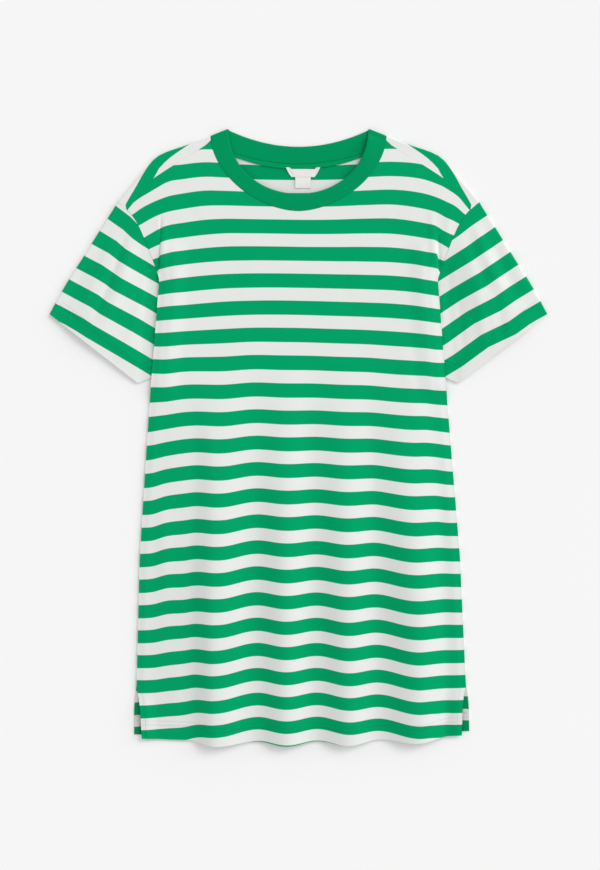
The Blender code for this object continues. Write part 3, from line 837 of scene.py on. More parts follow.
@dataclass
class BackPanel(Panel):
    """The back, whose shoulders pass forward over the fold to the shoulder seams."""

    body_rows: int = 96
    yoke_rows: int = 36
    fold_rows: int = 8
    strip_rows: int = 10
    overlock_inset: float = 27.2
    overlock_reach: float = 3.4
    overlock_stripe: float = 0.5
    shoulder_droop: Table = (
        (0.0, 0.0), (55.0, -0.8), (88.0, -1.8), (125.0, 5.2), (148.0, 5.4), (165.0, 8.2), (180.0, 8.6),
        (194.0, 9.1), (206.0, 11.0), (216.0, 15.6), (226.0, 24.0), (234.0, 30.8), (243.0, 38.0),
        (270.4, 65.5),
    )
    droop_fade: Table = ((120.0, 0.0), (230.0, 0.35), (320.0, 0.8), (380.0, 1.0))
    side_droop: Table = ((-245.0, 13.2), (-150.0, 4.0), (0.0, 0.0), (150.0, 3.0), (245.0, 8.5))
    creases: tuple[Crease, ...] = (
        Crease((-120.0, 300.0), (-96.0, 120.0), 0.6, 8.0, 4.0),
        Crease((30.0, 330.0), (12.0, 190.0), 0.5, 9.0, -5.0),
        Crease((132.0, 280.0), (118.0, 60.0), 0.6, 8.0, 4.0),
        Crease((-60.0, 90.0), (-84.0, -140.0), 0.6, 9.0, -4.0),
        Crease((64.0, 20.0), (80.0, -190.0), 0.5, 8.0, 5.0),
        Crease((-150.0, -60.0), (-140.0, -300.0), 0.7, 9.0, 3.0),
        Crease((-30.0, -160.0), (-18.0, -420.0), 0.6, 9.0, -3.0),
        Crease((150.0, -120.0), (162.0, -390.0), 0.7, 9.0, -4.0),
        Crease((-92.0, -260.0), (-104.0, -432.0), 0.6, 7.0, 2.0),
        Crease((78.0, -280.0), (70.0, -430.0), 0.6, 7.0, 2.0),
    )

    def __post_init__(self) -> None:
        """Take the back's own edges from the form."""
        self.slit_side, self.hem = self.form.back_slit_side, self.form.back_hem
        self.top_share = self.form.fold_share

    def rows(self) -> Array:
        """Give the rows: 0 hem, 1 underarm, 2 shoulder line, 3 past its fold, 4 shoulder seam."""
        body = np.linspace(0.0, 1.0, self.body_rows)
        yoke = 1 + np.linspace(0.0, 1.0, self.yoke_rows + 1)[1:]
        fold = 2 + np.linspace(0.0, 1.0, self.fold_rows + 1)[1:]
        strip = 3 + np.linspace(0.0, 1.0, self.strip_rows + 1)[1:]
        return np.array([0.0, self.rim, *body[1:], *yoke, *fold, *strip])

    def shoulder(self, share: Array) -> Array:
        """Give the start of the fold over the right shoulder, from the armhole to the neck."""
        form = self.form
        at = lerp(form.gap / 2 / form.shoulder.length, 1.0, share)
        return form.shoulder.at(at) - form.shoulder.right_of(at) * form.fold_inset

    def neck(self, share: Array) -> Array:
        """Give the neck seam, from left to right."""
        return self.form.seam_back.at(lerp(math.pi, 0.0, share), self.form.gap / 2)

    def strip(self, u: Array, row: Array) -> tuple[Array, Array]:
        """Give the shoulder strip, round the fold for rows 2 to 3 and in front of it to row 4.

        Args:
            u: Shares across.
            row: Rows.

        Returns:
            The points as they lie, and their (x, y) if the back were laid out flat.
        """
        form = self.form
        side = np.stack([np.where(u < 0.5, -1.0, 1.0), np.ones_like(u)], axis=-1)
        share = np.minimum(u, 1 - u) / form.shoulder_share
        start, out = self.shoulder(share), form.shoulder.right_of(share)
        angle = np.pi * np.clip(row - 2, 0.0, 1.0)
        turned = start + out * (form.fold_radius * np.sin(angle))[..., None]
        turned_out = start + out * (form.fold_radius * angle)[..., None]
        seam = form.seam.at(share)
        back = start - seam
        seam = seam + back / np.linalg.norm(back, axis=-1, keepdims=True) * form.gap
        front = between(start, seam, np.clip(row - 3, 0.0, 1.0))
        beyond = ((start - front) * out).sum(axis=-1) + form.fold_radius * math.pi / 2
        front_out = front + out * (2 * beyond)[..., None]
        past = (row > 3)[..., None]
        lying, laid_out = np.where(past, front, turned) * side, np.where(past, front_out, turned_out) * side
        height = np.where(
            row > 3,
            form.upper_mid(lying, form.front_slit_side),
            form.back_mid + form.fold_radius * (1 - np.cos(angle)),
        )
        return np.concatenate([lying, height[..., None]], axis=-1), laid_out

    def surface(self, u: Array, row: Array) -> Array:
        """Give points of the back as it lies, at the middle of the cloth."""
        form = self.form
        flat = self.flat(u, row)
        height = form.back_mid + form.lift(flat, form.back_step_in) + creased(self.creases, flat)
        lying = np.concatenate([form.swayed(flat), height[..., None]], axis=-1)
        return np.where((row > 2)[..., None], self.strip(u, row)[0], lying)

    def laid_out(self, u: Array, row: Array) -> Array:
        """Give the points' places on the back laid out flat."""
        return np.where((row > 2)[..., None], self.strip(u, row)[1], self.flat(u, row))

    def stripes(self, u: Array, row: Array) -> Array:
        """Give (share across, stripe number) at points of the back."""
        points = self.laid_out(u, row)
        fade = read(self.droop_fade, points[..., 1])
        high, low = np.array(self.shoulder_droop), np.array(self.side_droop)
        droop = flowing(high[:, 0], high[:, 1], np.abs(points[..., 0])) * fade
        droop = droop + flowing(low[:, 0], low[:, 1], points[..., 0]) * (1 - fade)
        return np.stack([u, self.chart.count(points[..., 1] + droop)], axis=-1)

    def stitch(self, thread: bpy.types.Material) -> None:
        """Sew the hem and the slits on both faces, and overlock the hem's raw edge inside."""
        stitches = Stitching(self.form, "back_stitches")
        for u, row in self.hem_lines() + self.slit_lines():
            for over in (1.0, -1.0):
                stitches.sew(self.surface(u, row), self.stripes(u, row)[:, 1], over)
        u, row = self.hem_lines((self.overlock_inset,))[0]
        pale = np.full(len(u), self.overlock_stripe)
        stitches.sew(self.surface(u, row), pale, 1.0, zigzag=self.overlock_reach)
        stitches.build(thread)

    def build(self, material: bpy.types.Material) -> None:
        """Make the back and put it in place of its solid."""
        obj, u, row = self.open_cloth("back_cloth")
        last = self.form.shoulder_share - NEARLY
        Piece.cut_cells(obj, (row > 2 - NEARLY) & (u > last) & (u < 1 - last))
        Piece.thicken(obj, self.form.cloth, wrong_first=True)
        Piece.dress(obj, material, "striped_jersey", "back_panel")


@dataclass(frozen=True)
class SleeveLook:
    """How one sleeve's stripes drift and where its creases lie, both given as on a right sleeve.

    Each row of drift is for one stripe number, and its shifts are for the places of drift_across.
    """

    drift_across: tuple[float, ...]
    drift: tuple[tuple[float, tuple[float, ...]], ...]
    creases: tuple[Crease, ...]


SLEEVES = {
    Side.LEFT: SleeveLook(
        drift_across=(0.0, 29.0, 47.0, 64.0, 117.0, 152.0),
        drift=(
            (0.0, (-1.2, 2.0, 6.9, 9.5, 9.5, 9.5)),
            (1.0, (0.4, -0.4, 2.5, 2.0, 0.6, 0.0)),
            (2.0, (1.1, -1.0, -0.6, 1.1, -2.8, -2.9)),
            (3.0, (0.0, -1.2, -2.5, -0.6, -3.2, -3.4)),
            (4.0, (0.0, -1.9, -2.3, -1.9, -2.6, -2.9)),
        ),
        creases=(
            Crease((247.0, 312.0), (306.0, 156.0), -2.0, 5.0, -4.0),
            Crease((236.0, 300.0), (292.0, 140.0), 1.2, 8.0, -4.0),
            Crease((262.0, 316.0), (322.0, 176.0), 0.9, 7.0, -3.0),
            Crease((302.0, 262.0), (344.0, 178.0), -0.8, 7.0, 1.0),
            Crease((224.0, 224.0), (252.0, 108.0), 0.9, 8.0, 2.0),
            Crease((206.0, 200.0), (214.0, 110.0), -0.9, 6.0, 1.0),
        ),
    ),
    Side.RIGHT: SleeveLook(
        drift_across=(0.0, 29.0, 55.0, 99.0, 146.0),
        drift=(
            (0.0, (-6.9, -5.4, -2.1, 0.0, 0.0)),
            (1.0, (-6.2, -4.5, -3.4, -3.2, -2.7)),
            (2.0, (-5.3, -4.2, -2.5, -4.2, -2.7)),
            (3.0, (-4.0, -3.8, -2.1, -5.8, -2.1)),
            (4.0, (-3.4, -4.2, -2.0, -6.6, -2.2)),
        ),
        creases=(
            Crease((250.0, 330.0), (308.0, 190.0), 1.5, 8.0, -2.0),
            Crease((238.0, 322.0), (292.0, 184.0), -1.1, 9.0, -2.0),
            Crease((290.0, 290.0), (346.0, 190.0), 1.0, 9.0, 2.0),
            Crease((274.0, 300.0), (328.0, 176.0), -0.8, 8.0, 2.0),
            Crease((292.0, 206.0), (302.0, 124.0), -1.2, 7.0, -2.0),
            Crease((256.0, 236.0), (272.0, 110.0), 1.3, 9.0, 3.0),
            Crease((228.0, 236.0), (240.0, 94.0), -1.2, 7.0, 2.0),
            Crease((208.0, 216.0), (214.0, 108.0), 0.8, 6.0, 1.0),
        ),
    ),
}


@dataclass
class Sleeve:
    """A flattened tube between the armhole and the sleeve's hem."""

    form: DressForm
    side: Side
    look: SleeveLook
    hem_edge: tuple = ((363.4, 181.0), (233.9, 79.9), (217.5, 86.9), (207.0, 94.0))
    underarm: tuple[float, float] = (195.0, 216.0)
    seam_ease: float = 0.2
    tuck_radius: float = 0.75
    ridge: float = 2.6
    ridge_share: float = 0.42
    ridge_drift: float = 0.1
    ridge_width: float = 0.3
    ridge_start: float = 0.4
    hem_press: float = 0.25
    hem_press_start: float = 0.82
    front_stations: int = 56
    back_stations: int = 30
    turn_stations: int = 8
    rows_along: int = 64
    rim: float = 0.006
    reading_step: float = 0.005
    line_ends: tuple[float, float] = (0.04, 0.96)
    line_points: int = 60
    stripe_corner: tuple[float, float] = (265.7, 341.6)
    stripe_along: tuple[float, float] = (0.517, -0.856)
    stripe_first: float = 15.2
    stripe_pitch: float = 42.4
    stripe_gather: float = 0.25
    stripe_numbers: tuple[float, float] = (-2.0, 8.0)
    far_from_side: float = 100.0
    tuck: Curve = field(init=False)
    hem: Curve = field(init=False)
    inner: Curve = field(init=False)
    seam_length: float = field(init=False)
    tuck_inset: float = field(init=False)

    def __post_init__(self) -> None:
        """Work out the curves of the sleeve's edges."""
        form = self.form
        arm_end = tuple(form.arm_point(np.ones(1), form.gap / 2 + self.seam_ease)[0])
        self.tuck = Curve((arm_end, self.underarm), corners=True)
        self.hem = Curve(self.hem_edge, corners=True)
        self.inner = Curve((self.underarm, self.hem_edge[-1]), corners=True)
        self.seam_length = form.arm.length + self.tuck.length
        self.tuck_inset = self.tuck_radius + form.cloth / 2

    @property
    def name(self) -> str:
        """Give the name of the sleeve's solid."""
        return f"sleeve_{self.side.name.lower()}"

    def seam(self, share: Array) -> Array:
        """Give the armhole seam, from the shoulder to the point under the body."""
        form = self.form
        wanted = share * self.seam_length
        on_arm = form.arm_point(wanted / form.arm.length, form.gap / 2 + self.seam_ease)
        under = self.tuck.at((wanted - form.arm.length) / self.tuck.length)
        return np.where((wanted <= form.arm.length)[..., None], on_arm, under)

    def outer(self, share: Array) -> Array:
        """Give the folded outer edge."""
        ends = np.array((0.0, 1.0))
        start, end = self.seam(ends)[0], self.hem.at(ends)[0]
        straight = self.form.sleeve_edge.at(ends)
        bow = self.form.sleeve_edge.at(share) - between(straight[0], straight[1], share)
        return between(start, end, share) + bow

    def flat(self, across: Array, along: Array) -> Array:
        """Give points of the flat right sleeve."""
        return patch(self.seam, self.hem.at, self.outer, self.inner.at, across, along)

    def ring(self) -> Array:
        """Give the tube's stations, as (share of the seam, angle): pi in front, 0 behind."""
        first, last = self.form.fold_inset / self.seam_length, 1 - self.tuck_inset / self.seam_length
        front = np.linspace(first, last, self.front_stations)
        back = np.linspace(last, first, self.back_stations)
        turn = np.linspace(0.0, math.pi, self.turn_stations + 2)[1:-1]
        stations = [(share, math.pi) for share in front]
        stations += [(last, angle) for angle in reversed(turn)]
        stations += [(share, 0.0) for share in back]
        stations += [(first, angle) for angle in turn]
        return np.array([*stations, stations[0]])

    def read_ring(self, station: Array, along: Array) -> tuple[Array, Array, Array]:
        """Place stations of the ring on the flat sleeve.

        Args:
            station: Pairs of a share of the seam and an angle.
            along: Shares from the armhole to the hem.

        Returns:
            Flat points of the right sleeve, the directions outwards there, and shares across.
        """
        share = station[..., 0]
        zero, one = np.zeros_like(along), np.ones_like(along)
        width = np.linalg.norm(self.flat(one, along) - self.flat(zero, along), axis=-1)
        start, end = self.form.fold_inset, self.tuck_inset
        inner = (share - start / self.seam_length) / (1 - (start + end) / self.seam_length)
        at = lerp(start / width, 1 - end / width, inner)
        step = self.reading_step
        away = self.flat(at - step, along) - self.flat(at + step, along)
        away = away / np.linalg.norm(away, axis=-1, keepdims=True)
        away = np.where((share > 0.5)[..., None], -away, away)
        return self.flat(at, along), away, at

    def surface(self, station: Array, along: Array) -> Array:
        """Give points of the sleeve as it lies, at the middle of the cloth."""
        form = self.form
        flat, away, _ = self.read_ring(station, along)
        share, angle = station[..., 0], station[..., 1]
        middle = self.ridge_share - self.ridge_drift * along
        ridge = self.ridge * smooth(1 - np.abs(share - middle) / self.ridge_width)
        top = form.upper_mid(flat) + ridge * smooth(along / self.ridge_start)
        top = top + creased(self.look.creases, flat) * (angle >= math.pi)
        pressed = self.hem_press * smooth((along - self.hem_press_start) / (1 - self.hem_press_start))
        top = lerp(top, form.pressed_mid, pressed)
        radius = (top - form.back_mid) / 2
        lying = mirrored(flat + away * (radius * np.sin(angle))[..., None], self.side.value)
        height = form.back_mid + radius * (1 - np.cos(angle))
        return np.concatenate([lying, height[..., None]], axis=-1)

    def from_corner(self, flat: Array) -> tuple[Array, Array]:
        """Give how far flat points lie down the sleeve from its shoulder corner, and how far across."""
        away = flat - np.array(self.stripe_corner)
        x, y = self.stripe_along
        return away @ np.array((x, y)), -away @ np.array((-y, x))

    def stripes(self, station: Array, along: Array) -> Array:
        """Give (share across, stripe number) at points of the sleeve."""
        flat, _, at = self.read_ring(station, along)
        down, across = self.from_corner(flat)
        numbers = np.arange(*self.stripe_numbers)
        places = self.stripe_first + self.stripe_pitch * numbers - self.stripe_gather * numbers**2
        number = np.interp(down, places, numbers)
        levels = [level for level, _ in self.look.drift]
        shift = np.zeros_like(number)
        for (_, shifts), weights in zip(self.look.drift, np.eye(len(levels))):
            here = np.interp(across, self.look.drift_across, shifts)
            shift = shift + here * np.interp(number, levels, weights)
        return np.stack([at, np.interp(down - shift, places, numbers)], axis=-1)

    def cloth_map(self, station: Array, along: Array) -> Array:
        """Give places on the cloth in metres, for its knit."""
        flat, _, at = self.read_ring(station, along)
        return np.stack([at * self.seam_length, self.from_corner(flat)[0]], axis=-1) * MM

    def hem_line(self, inset: float, angle: float) -> tuple[Array, Array]:
        """Follow the hem at a distance from it, on the front (angle pi) or the back (0).

        Args:
            inset: The distance.
            angle: The layer.

        Returns:
            The stations and their shares along.
        """
        share = np.linspace(*self.line_ends, self.line_points)
        reach = np.linalg.norm(
            self.flat(share, np.zeros_like(share)) - self.flat(share, np.ones_like(share)), axis=-1
        )
        return np.stack([share, np.full_like(share, angle)], axis=-1), 1 - inset / reach

    def stitch(self, thread: bpy.types.Material) -> None:
        """Sew the hem's twin rows, on the front and on the back of the tube."""
        stitches = Stitching(self.form, f"{self.name}_stitches")
        for inset in HEM_ROWS:
            for angle, over in ((math.pi, 1.0), (0.0, -1.0)):
                station, along = self.hem_line(inset, angle)
                stitches.sew(self.surface(station, along), self.stripes(station, along)[:, 1], over)
        stitches.build(thread)

    def edges(self, station: Array, along: Array) -> Array:
        """Give the distances from the hem and from the armhole, in metres."""
        flat, _, _ = self.read_ring(station, along)
        return np.stack([self.hem.distance(flat), np.full_like(along, self.far_from_side)], axis=-1) * MM

    def build(self, material: bpy.types.Material) -> None:
        """Make the sleeve and put it in place of its solid."""
        ring = self.ring()
        inner = np.linspace(0.0, 1.0, self.rows_along + 1)[1:-1]
        rows = np.array([0.0, self.rim, *inner, 1 - self.rim, 1.0])
        obj, column, row = Piece.grid(f"{self.name}_cloth", np.arange(len(ring)), rows)
        station = ring[column]
        Piece.place(obj, self.surface(station, row), self.form)
        Piece.add_map(obj, "Stripes", self.stripes(station, row))
        Piece.add_map(obj, "Cloth", self.cloth_map(station, row))
        Piece.add_map(obj, "Edges", self.edges(station, row))
        Piece.close(obj)
        Piece.thicken(obj, self.form.cloth, wrong_first=False)
        Piece.dress(obj, material, "striped_jersey", self.name)


@dataclass
class Neckband:
    """The rib band round the neck: a ring whose sections run from the neck seam to the free edge."""

    form: DressForm
    thickness: float = 2.2
    fold_radius: float = 1.3
    front_stations: int = 150
    back_stations: int = 80
    turn_stations: int = 8
    corner_stations: int = 4
    section: int = 28
    broadness: float = 0.3
    flatness: float = 0.6
    pucker: float = 0.16
    pucker_middle: float = 1.62
    pucker_reach: float = 0.16
    pucker_rate: float = 118.0
    stand: float = 4.4
    stand_angles: tuple[float, float, float] = (0.03, 0.16, 0.9)
    map_width: float = 0.025

    def stations(self) -> Array:
        """Give the ring's stations, as (neck angle, fold angle): pi in front and 0 behind."""
        form = self.form
        front = np.linspace(form.strip_angle, math.pi - form.strip_angle, self.front_stations)
        back = np.linspace(math.pi, 0.0, self.back_stations)
        turn = np.linspace(0.0, math.pi, self.turn_stations + 2)[1:-1]
        near = np.linspace(0.0, form.strip_angle, self.corner_stations)[:-1]
        stations = [(angle, math.pi) for angle in (*near, *front, *(math.pi - near[::-1]))]
        stations += [(math.pi, angle) for angle in reversed(turn)]
        stations += [(angle, 0.0) for angle in back]
        stations += [(0.0, angle) for angle in turn]
        return np.array(stations)

    def surface(self, station: Array, around: Array) -> Array:
        """Give points of the band's rounded section."""
        form = self.form
        angle, fold = station[..., 0], station[..., 1]
        in_front = fold >= math.pi
        front = (fold > 0)[..., None]
        inset = -form.gap / 2
        seam = np.where(front, form.seam_front.at(angle, inset), form.seam_back.at(angle, inset))
        free = np.where(front, form.free_front.at(angle), form.free_back.at(angle))
        cos, sin = np.cos(around), np.sin(around)
        across = np.copysign(np.abs(cos) ** self.broadness, cos)
        half = self.thickness / 2
        thick = half * np.copysign(np.abs(sin) ** self.flatness, sin)
        flat = between(seam, free, 0.5 - 0.5 * across)
        side = np.where(angle < math.pi / 2, 1.0, -1.0)
        out = -across_unit(free - seam) * side[..., None]
        on_front = form.upper_mid(flat, form.front_slit_side) + half + 2 * self.fold_radius - form.fold_mid
        turning = half + self.fold_radius * (1 - np.cos(fold))
        height = np.where(in_front, on_front, turning)
        near_middle = np.exp(-(((angle - self.pucker_middle) / self.pucker_reach) ** 2))
        near_middle = near_middle * in_front * (across > 0)
        height = height + self.pucker * np.sin(angle * self.pucker_rate) * near_middle * across
        start, full, end = self.stand_angles
        off = smooth((angle - start) / (full - start)) * smooth((end - angle) / (end - full))
        height = height + self.stand * off * smooth(0.5 - across * 0.5) * in_front
        flat = flat + out * (np.sin(fold) * (self.fold_radius + thick))[..., None]
        height = height - np.cos(fold) * thick
        return np.concatenate([flat, height[..., None]], axis=-1)

    def build(self, material: bpy.types.Material) -> None:
        """Make the band and put it in place of its solid."""
        Piece.clear()
        stations = self.stations()
        count = len(stations)
        bpy.ops.mesh.primitive_torus_add(
            major_segments=count, minor_segments=self.section, major_radius=1.0, minor_radius=0.25
        )
        obj = bpy.context.object
        obj.name = obj.data.name = "neckband_rib"
        co = Piece.coordinates(obj)
        turn = np.arctan2(co[:, 1], co[:, 0]) % (2 * math.pi)
        index = np.rint(turn / (2 * math.pi) * count).astype(int) % count
        around = np.arctan2(co[:, 2], np.hypot(co[:, 0], co[:, 1]) - 1.0)
        Piece.place(obj, self.surface(stations[index], around), self.form)
        middle = self.surface(stations, np.full(count, math.pi / 2))[:, :2]
        steps = np.linalg.norm(np.diff(np.vstack([middle, middle[:1]]), axis=0), axis=1)
        lengths = np.concatenate([[0.0], np.cumsum(steps)])
        across = 0.5 - 0.5 * np.cos(around)
        values = np.stack([lengths[index] * MM, across * self.map_width], axis=-1)
        Piece.add_map(obj, "Cloth", values, wrap=float(lengths[-1]) * MM)
        Piece.close(obj)
        Piece.dress(obj, material, "green_rib", "neckband")


@dataclass
class NeckTrims:
    """The tape over the back neck seam, the neck label and the size tab under it."""

    form: DressForm
    mid: float = 2.0
    tape_width: float = 6.6
    tape_angle: float = 0.72
    tape_taper: float = 0.4
    tape_taper_from: float = 0.2
    tape_taper_run: float = 0.3
    tape_crown: float = 0.25
    label_x: float = 6.6
    label_top: float = 50.4
    label_bottom: float = 33.6
    label_height: float = 11.5
    ear_height: float = 2.4
    ear_end: float = 0.16
    ear_run: float = 0.05
    ear_curl: float = 1.5
    label_fold: float = 0.45
    label_fold_at: float = 0.09
    label_fold_width: float = 0.028
    label_bulge: float = 0.8
    label_bulge_run: float = 0.07
    label_bulge_loss: float = 0.6
    tab_width: float = 22.6
    tab_height: float = 16.0
    tab_bow: float = 0.5
    tab_curl: float = 0.3

    def tape(self, share: Array, down: Array) -> Array:
        """Give points of the tape, from left to right and from the seam down."""
        angle = lerp(math.pi - self.tape_angle, self.tape_angle, share)
        taper = smooth((np.abs(share - 0.5) - self.tape_taper_from) / self.tape_taper_run)
        width = self.tape_width * (1 - self.tape_taper * taper)
        flat = self.form.seam_back.at(angle, self.form.gap / 2 + width * down)
        crown = self.mid + self.tape_crown * np.sin(np.pi * down)
        return np.concatenate([flat, crown[..., None]], axis=-1)

    def tape_foot(self) -> float:
        """Give the y of the tape's lower edge at the centre."""
        lowest = self.form.seam_back.plain(np.array([math.pi / 2]))[0, 1]
        return float(lowest) - self.form.gap / 2 - self.tape_width

    def label(self, share: Array, down: Array) -> Array:
        """Give points of the label, whose upper corners curl up."""
        width = lerp(self.label_top, self.label_bottom, down)
        x = self.label_x + width * (share - 0.5)
        from_end = 0.5 - np.abs(share - 0.5)
        ear = smooth((self.ear_end - from_end) / self.ear_run) * np.maximum(1 - 2 * down, 0.0)
        y = self.tape_foot() - self.form.gap - self.label_height * down + self.ear_height * ear
        inwards = from_end - self.label_fold_at
        fold = self.label_fold * np.exp(-((inwards / self.label_fold_width) ** 2)) * (1 - down)
        bulge = self.label_bulge * smooth(inwards / self.label_bulge_run) * (1 - self.label_bulge_loss * down)
        return np.stack([x, y, self.mid + self.ear_curl * ear + bulge - fold], axis=-1)

    def tab(self, share: Array, down: Array) -> Array:
        """Give points of the size tab, which bows a little."""
        x = self.label_x + self.tab_width * (share - 0.5)
        y = self.tape_foot() - 2 * self.form.gap - self.label_height - self.tab_height * down
        bow = self.tab_bow * np.sin(np.pi * down) + self.tab_curl * down * (2 * share - 1) ** 2
        return np.stack([x, y, self.mid + bow], axis=-1)

    def strip(self, name: str, place: Surface, columns: int, rows: int, thickness: float) -> bpy.types.Object:
        """Make one trim as a thin shell."""
        obj, share, down = Piece.grid(name, np.linspace(0, 1, columns), np.linspace(1, 0, rows))
        points = place(share, down)
        Piece.place(obj, points, self.form)
        Piece.add_map(obj, "Cloth", points[:, :2] * MM)
        Piece.thicken(obj, thickness)
        return obj

    def build(self, tape: bpy.types.Material, woven: bpy.types.Material) -> None:
        """Make the three trims and put them in place of their solids."""
        strip = self.strip("neck_tape_cloth", self.tape, columns=90, rows=9, thickness=0.9)
        Piece.dress(strip, tape, "green_tape", "neck_tape")
        label = self.strip("neck_label_cloth", self.label, columns=41, rows=13, thickness=0.6)
        Piece.dress(label, woven, "woven_label", "neck_label")
        tab = self.strip("size_tab_cloth", self.tab, columns=19, rows=15, thickness=0.5)
        Piece.dress(tab, woven, "woven_label", "size_tab")


@dataclass
class Stitching:
    """Rows of small stitches on one piece: one stitch is modelled and copied along the rows."""

    form: DressForm
    name: str
    length: float = 2.5
    pitch: float = 3.3
    radius: float = 0.28
    proud: float = 0.06
    sunk: float = 0.2
    bead_segments: int = 6
    bead_rings: int = 4
    starts: list[Array] = field(default_factory=list)
    ends: list[Array] = field(default_factory=list)
    numbers: list[Array] = field(default_factory=list)

    def sew(self, line: Array, numbers: Array, over: float = 1.0, zigzag: float = 0.0) -> None:
        """Sew a row of stitches along a line of the cloth's middle.

        Args:
            line: Its (x, y, z) points.
            numbers: The stripe number at each.
            over: 1 on the cloth's upper face, -1 on its lower one.
            zigzag: How far every second stitch end lies aside, for an overlocked edge.
        """
        off = self.proud if over > 0 else -self.sunk
        line = line + np.array((0.0, 0.0, over * (self.form.cloth / 2 + off)))
        lengths = np.concatenate([[0.0], np.cumsum(np.linalg.norm(np.diff(line, axis=0), axis=1))])
        count = max(int(lengths[-1] / self.pitch), 1)
        middles = (np.arange(count) + 0.5) * lengths[-1] / count
        along = (line[-1] - line[0])[:2] / np.linalg.norm((line[-1] - line[0])[:2])
        aside = np.array((-along[1], along[0], 0.0)) * zigzag / 2
        for side, ends in ((-0.5, self.starts), (0.5, self.ends)):
            at = middles + side * self.length
            points = np.stack([np.interp(at, lengths, line[:, k]) for k in range(3)], axis=-1)
            turn = (2.0 * (np.arange(count) % 2) - 1)[:, None] * math.copysign(1.0, side)
            ends.append(points + aside * turn)
        self.numbers.append(np.interp(middles, lengths, numbers))

    def stitch(self) -> tuple[Array, list[tuple[int, ...]]]:
        """Model one stitch: a small bead, whose x runs from -1 to 1 along the thread.

        Returns:
            Its points and its faces, sorted because a new sphere lists them in no fixed order.
        """
        Piece.clear()
        bpy.ops.mesh.primitive_uv_sphere_add(
            segments=self.bead_segments, ring_count=self.bead_rings, radius=1.0
        )
        bead = bpy.context.object
        bpy.ops.object.mode_set(mode="EDIT")
        bpy.ops.mesh.select_all(action="SELECT")
        bpy.ops.transform.rotate(value=math.pi / 2, orient_axis="Y", center_override=(0.0, 0.0, 0.0))
        bpy.ops.object.mode_set(mode="OBJECT")
        shape = Piece.coordinates(bead), sorted(tuple(polygon.vertices) for polygon in bead.data.polygons)
        bpy.data.objects.remove(bead)
        return shape

    def build(self, material: bpy.types.Material) -> None:
        """Join all stitches into one object."""
        bead, faces = self.stitch()
        starts, ends = np.concatenate(self.starts), np.concatenate(self.ends)
        half = (ends - starts) / 2
        reach = np.linalg.norm(half, axis=1, keepdims=True)
        along = half / reach
        side = np.cross(np.array((0.0, 0.0, 1.0)), along)
        side /= np.linalg.norm(side, axis=1, keepdims=True)
        axes = np.stack([half, side * self.radius, np.cross(along, side) * self.radius], axis=1)
        points = ((starts + ends) / 2)[:, None] + np.einsum("vk,skc->svc", bead, axes)
        count = len(bead)
        joined = [tuple(i + k * count for i in face) for k in range(len(points)) for face in faces]
        mesh = bpy.data.meshes.new(self.name)
        mesh.from_pydata(points.reshape(-1, 3).tolist(), [], joined)
        obj = bpy.data.objects.new(self.name, mesh)
        bpy.context.scene.collection.objects.link(obj)
        Piece.place(obj, points.reshape(-1, 3), self.form)
        numbers = np.repeat(np.concatenate(self.numbers), count)
        Piece.add_map(obj, "Stripes", np.stack([np.zeros_like(numbers), numbers], axis=-1))
        Piece.close(obj)
        Piece.dress(obj, material, "striped_jersey")


class Value:
    """A number socket: arithmetic on it adds Math nodes."""

    def __init__(self, shader: Shader, socket: bpy.types.NodeSocket) -> None:
        """Wrap a socket."""
        self.shader, self.socket = shader, socket

    def math(self, operation: str, *terms: Value | float) -> Value:
        """Add a Math node with these terms."""
        values = {i: term for i, term in enumerate(terms)}
        node = self.shader.node("ShaderNodeMath", {"operation": operation}, values)
        return Value(self.shader, node.outputs[0])

    def __add__(self, other: Value | float) -> Value:
        """Add."""
        return self.math("ADD", self, other)

    __radd__ = __add__

    def __sub__(self, other: Value | float) -> Value:
        """Take away."""
        return self.math("SUBTRACT", self, other)

    def __rsub__(self, other: float) -> Value:
        """Take this away from a number."""
        return self.math("SUBTRACT", other, self)

    def __mul__(self, other: Value | float) -> Value:
        """Multiply."""
        return self.math("MULTIPLY", self, other)

    __rmul__ = __mul__

    def __truediv__(self, other: Value | float) -> Value:
        """Divide."""
        return self.math("DIVIDE", self, other)

    def __abs__(self) -> Value:
        """Drop the sign."""
        return self.math("ABSOLUTE", self)

    def clamp(self) -> Value:
        """Keep between 0 and 1."""
        return self.math("MINIMUM", self.math("MAXIMUM", self, 0.0), 1.0)

    def to_whole(self) -> Value:
        """Give the distance from the nearest whole number, from 0 to 0.5."""
        return self.math("PINGPONG", self, 0.5)

    def sine(self) -> Value:
        """Give the sine."""
        return self.math("SINE", self)

    def bell(self, middle: float, width: float) -> Value:
        """Give 1 at a middle, easing to 0 at a distance."""
        return 1 - (abs(self - middle) / width).clamp()


